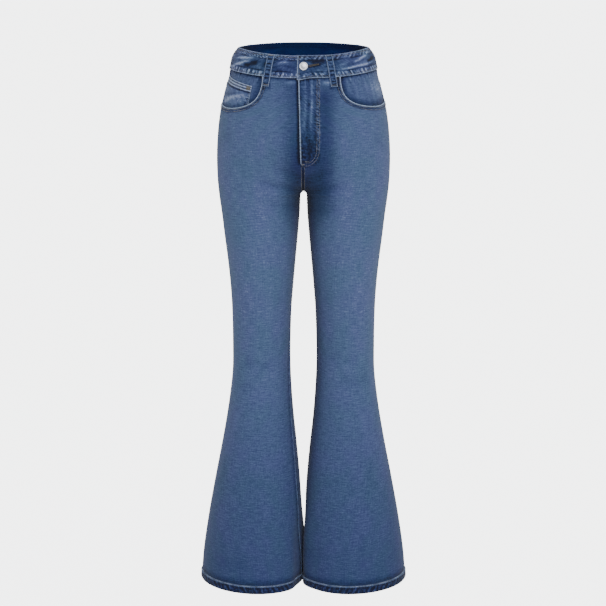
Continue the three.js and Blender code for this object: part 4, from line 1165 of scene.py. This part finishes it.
j, ahead = j.ravel(), ahead.ravel()
back = np.stack([ahead, j, 0 * j + count * BUTTON_TURNS], -1).tolist()
dome = np.stack([last + j, last + ahead, 0 * j + count * BUTTON_TURNS + 1], -1).tolist()
button_mesh = bpy.data.meshes.new("shank_button")
button_mesh.from_pydata((points * 0.001).tolist(), [], walls + back + dome)
button_mesh.materials.append(silver)
button_mesh.polygons.foreach_set("use_smooth", np.ones(len(button_mesh.polygons), bool))
button_mesh.set_sharp_from_angle(angle=np.radians(45))
button = bpy.data.objects.new("shank_button", button_mesh)
bpy.context.scene.collection.objects.link(button)
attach(button, "root")
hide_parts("button")

# Buttonhole. A slit in the lapping end of the waistband, worked round with close golden tan
# stitches. Its eye is under the button, and the rest runs on towards the side.
path = np.linspace(7, 27, 40)
level = BUTTON_HEIGHT + 0.3 + (path - 7) * 0.16
rows = [
    tacked(1, girth_at(path, level + off), level + off, 2.6 * falling(path, 24, 60), 1.1, 0.8)
    for off in (-1.5 + (path - 7) * 0.05, 0.9)
]
path = np.linspace(-1.2, 1.2, 6)
level = BUTTON_HEIGHT + 3.4 + path
rows.append(tacked(1, girth_at(27 + 0 * path, level), level, 2.55, 1.3, 0.8))
thread("buttonhole", rows, golden_thread, 0.3)

# Hems. Each leg's end is turned up twice and stitched near the fold's upper edge. The wash has
# roped it, so that pale ridges and dark hollows slant round it, and its rim is abraded.
HEM_COLUMNS = 300
HEM_ROWS = 14
for side, word in ((1, "left"), (-1, "right")):
    down = np.linspace(0, 1, HEM_ROWS)[:, None]
    girth = np.arange(HEM_COLUMNS)[None, :] / HEM_COLUMNS + 0 * down
    height = mix(HEM_TOP, HEM_BOTTOM, down) + 0 * girth
    along = girth * 600
    waves = [np.sin(2 * np.pi * (girth * n + down * 0.9) + a) for n, a in ((62, 1), (41, 4), (97, 2))]
    rope = (waves[0] + 0.7 * waves[1] + 0.5 * waves[2]) / 2.2
    thickness = 1.5 - 0.9 * smooth((down - 0.86) / 0.14)
    step = smooth((0.1 - down) / 0.1)
    lift = thickness - 1.4 * step + 0.28 * rope * np.sin(np.pi * down)
    wash_and_painted_shade = 0.11 + 0.32 * rope - 0.1 * falling(1 - down, 0, 0.1) - 0.14 * bell(down, 0.24, 0.07)
    wear = 0.5 * falling(down, 0.05, 0.14) * (0.8 + 0.4 * ripple(girth * 600, 30, 71))
    inner = 0.2 * step - thickness
    ring = cloth(
        f"hem_band_{word}", side, girth, height, lift, inner, wash_and_painted_shade, wear, 0.14, DENIM, ring=True
    )
    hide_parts(f"hem_{word}")
    path = np.linspace(0, 1, 400)
    row = sewn(side, path, 0 * path + HEM_TOP - 2.4, 1.5)
    thread(f"hem_topstitch_{word}", [row], blue_thread, 0.34)
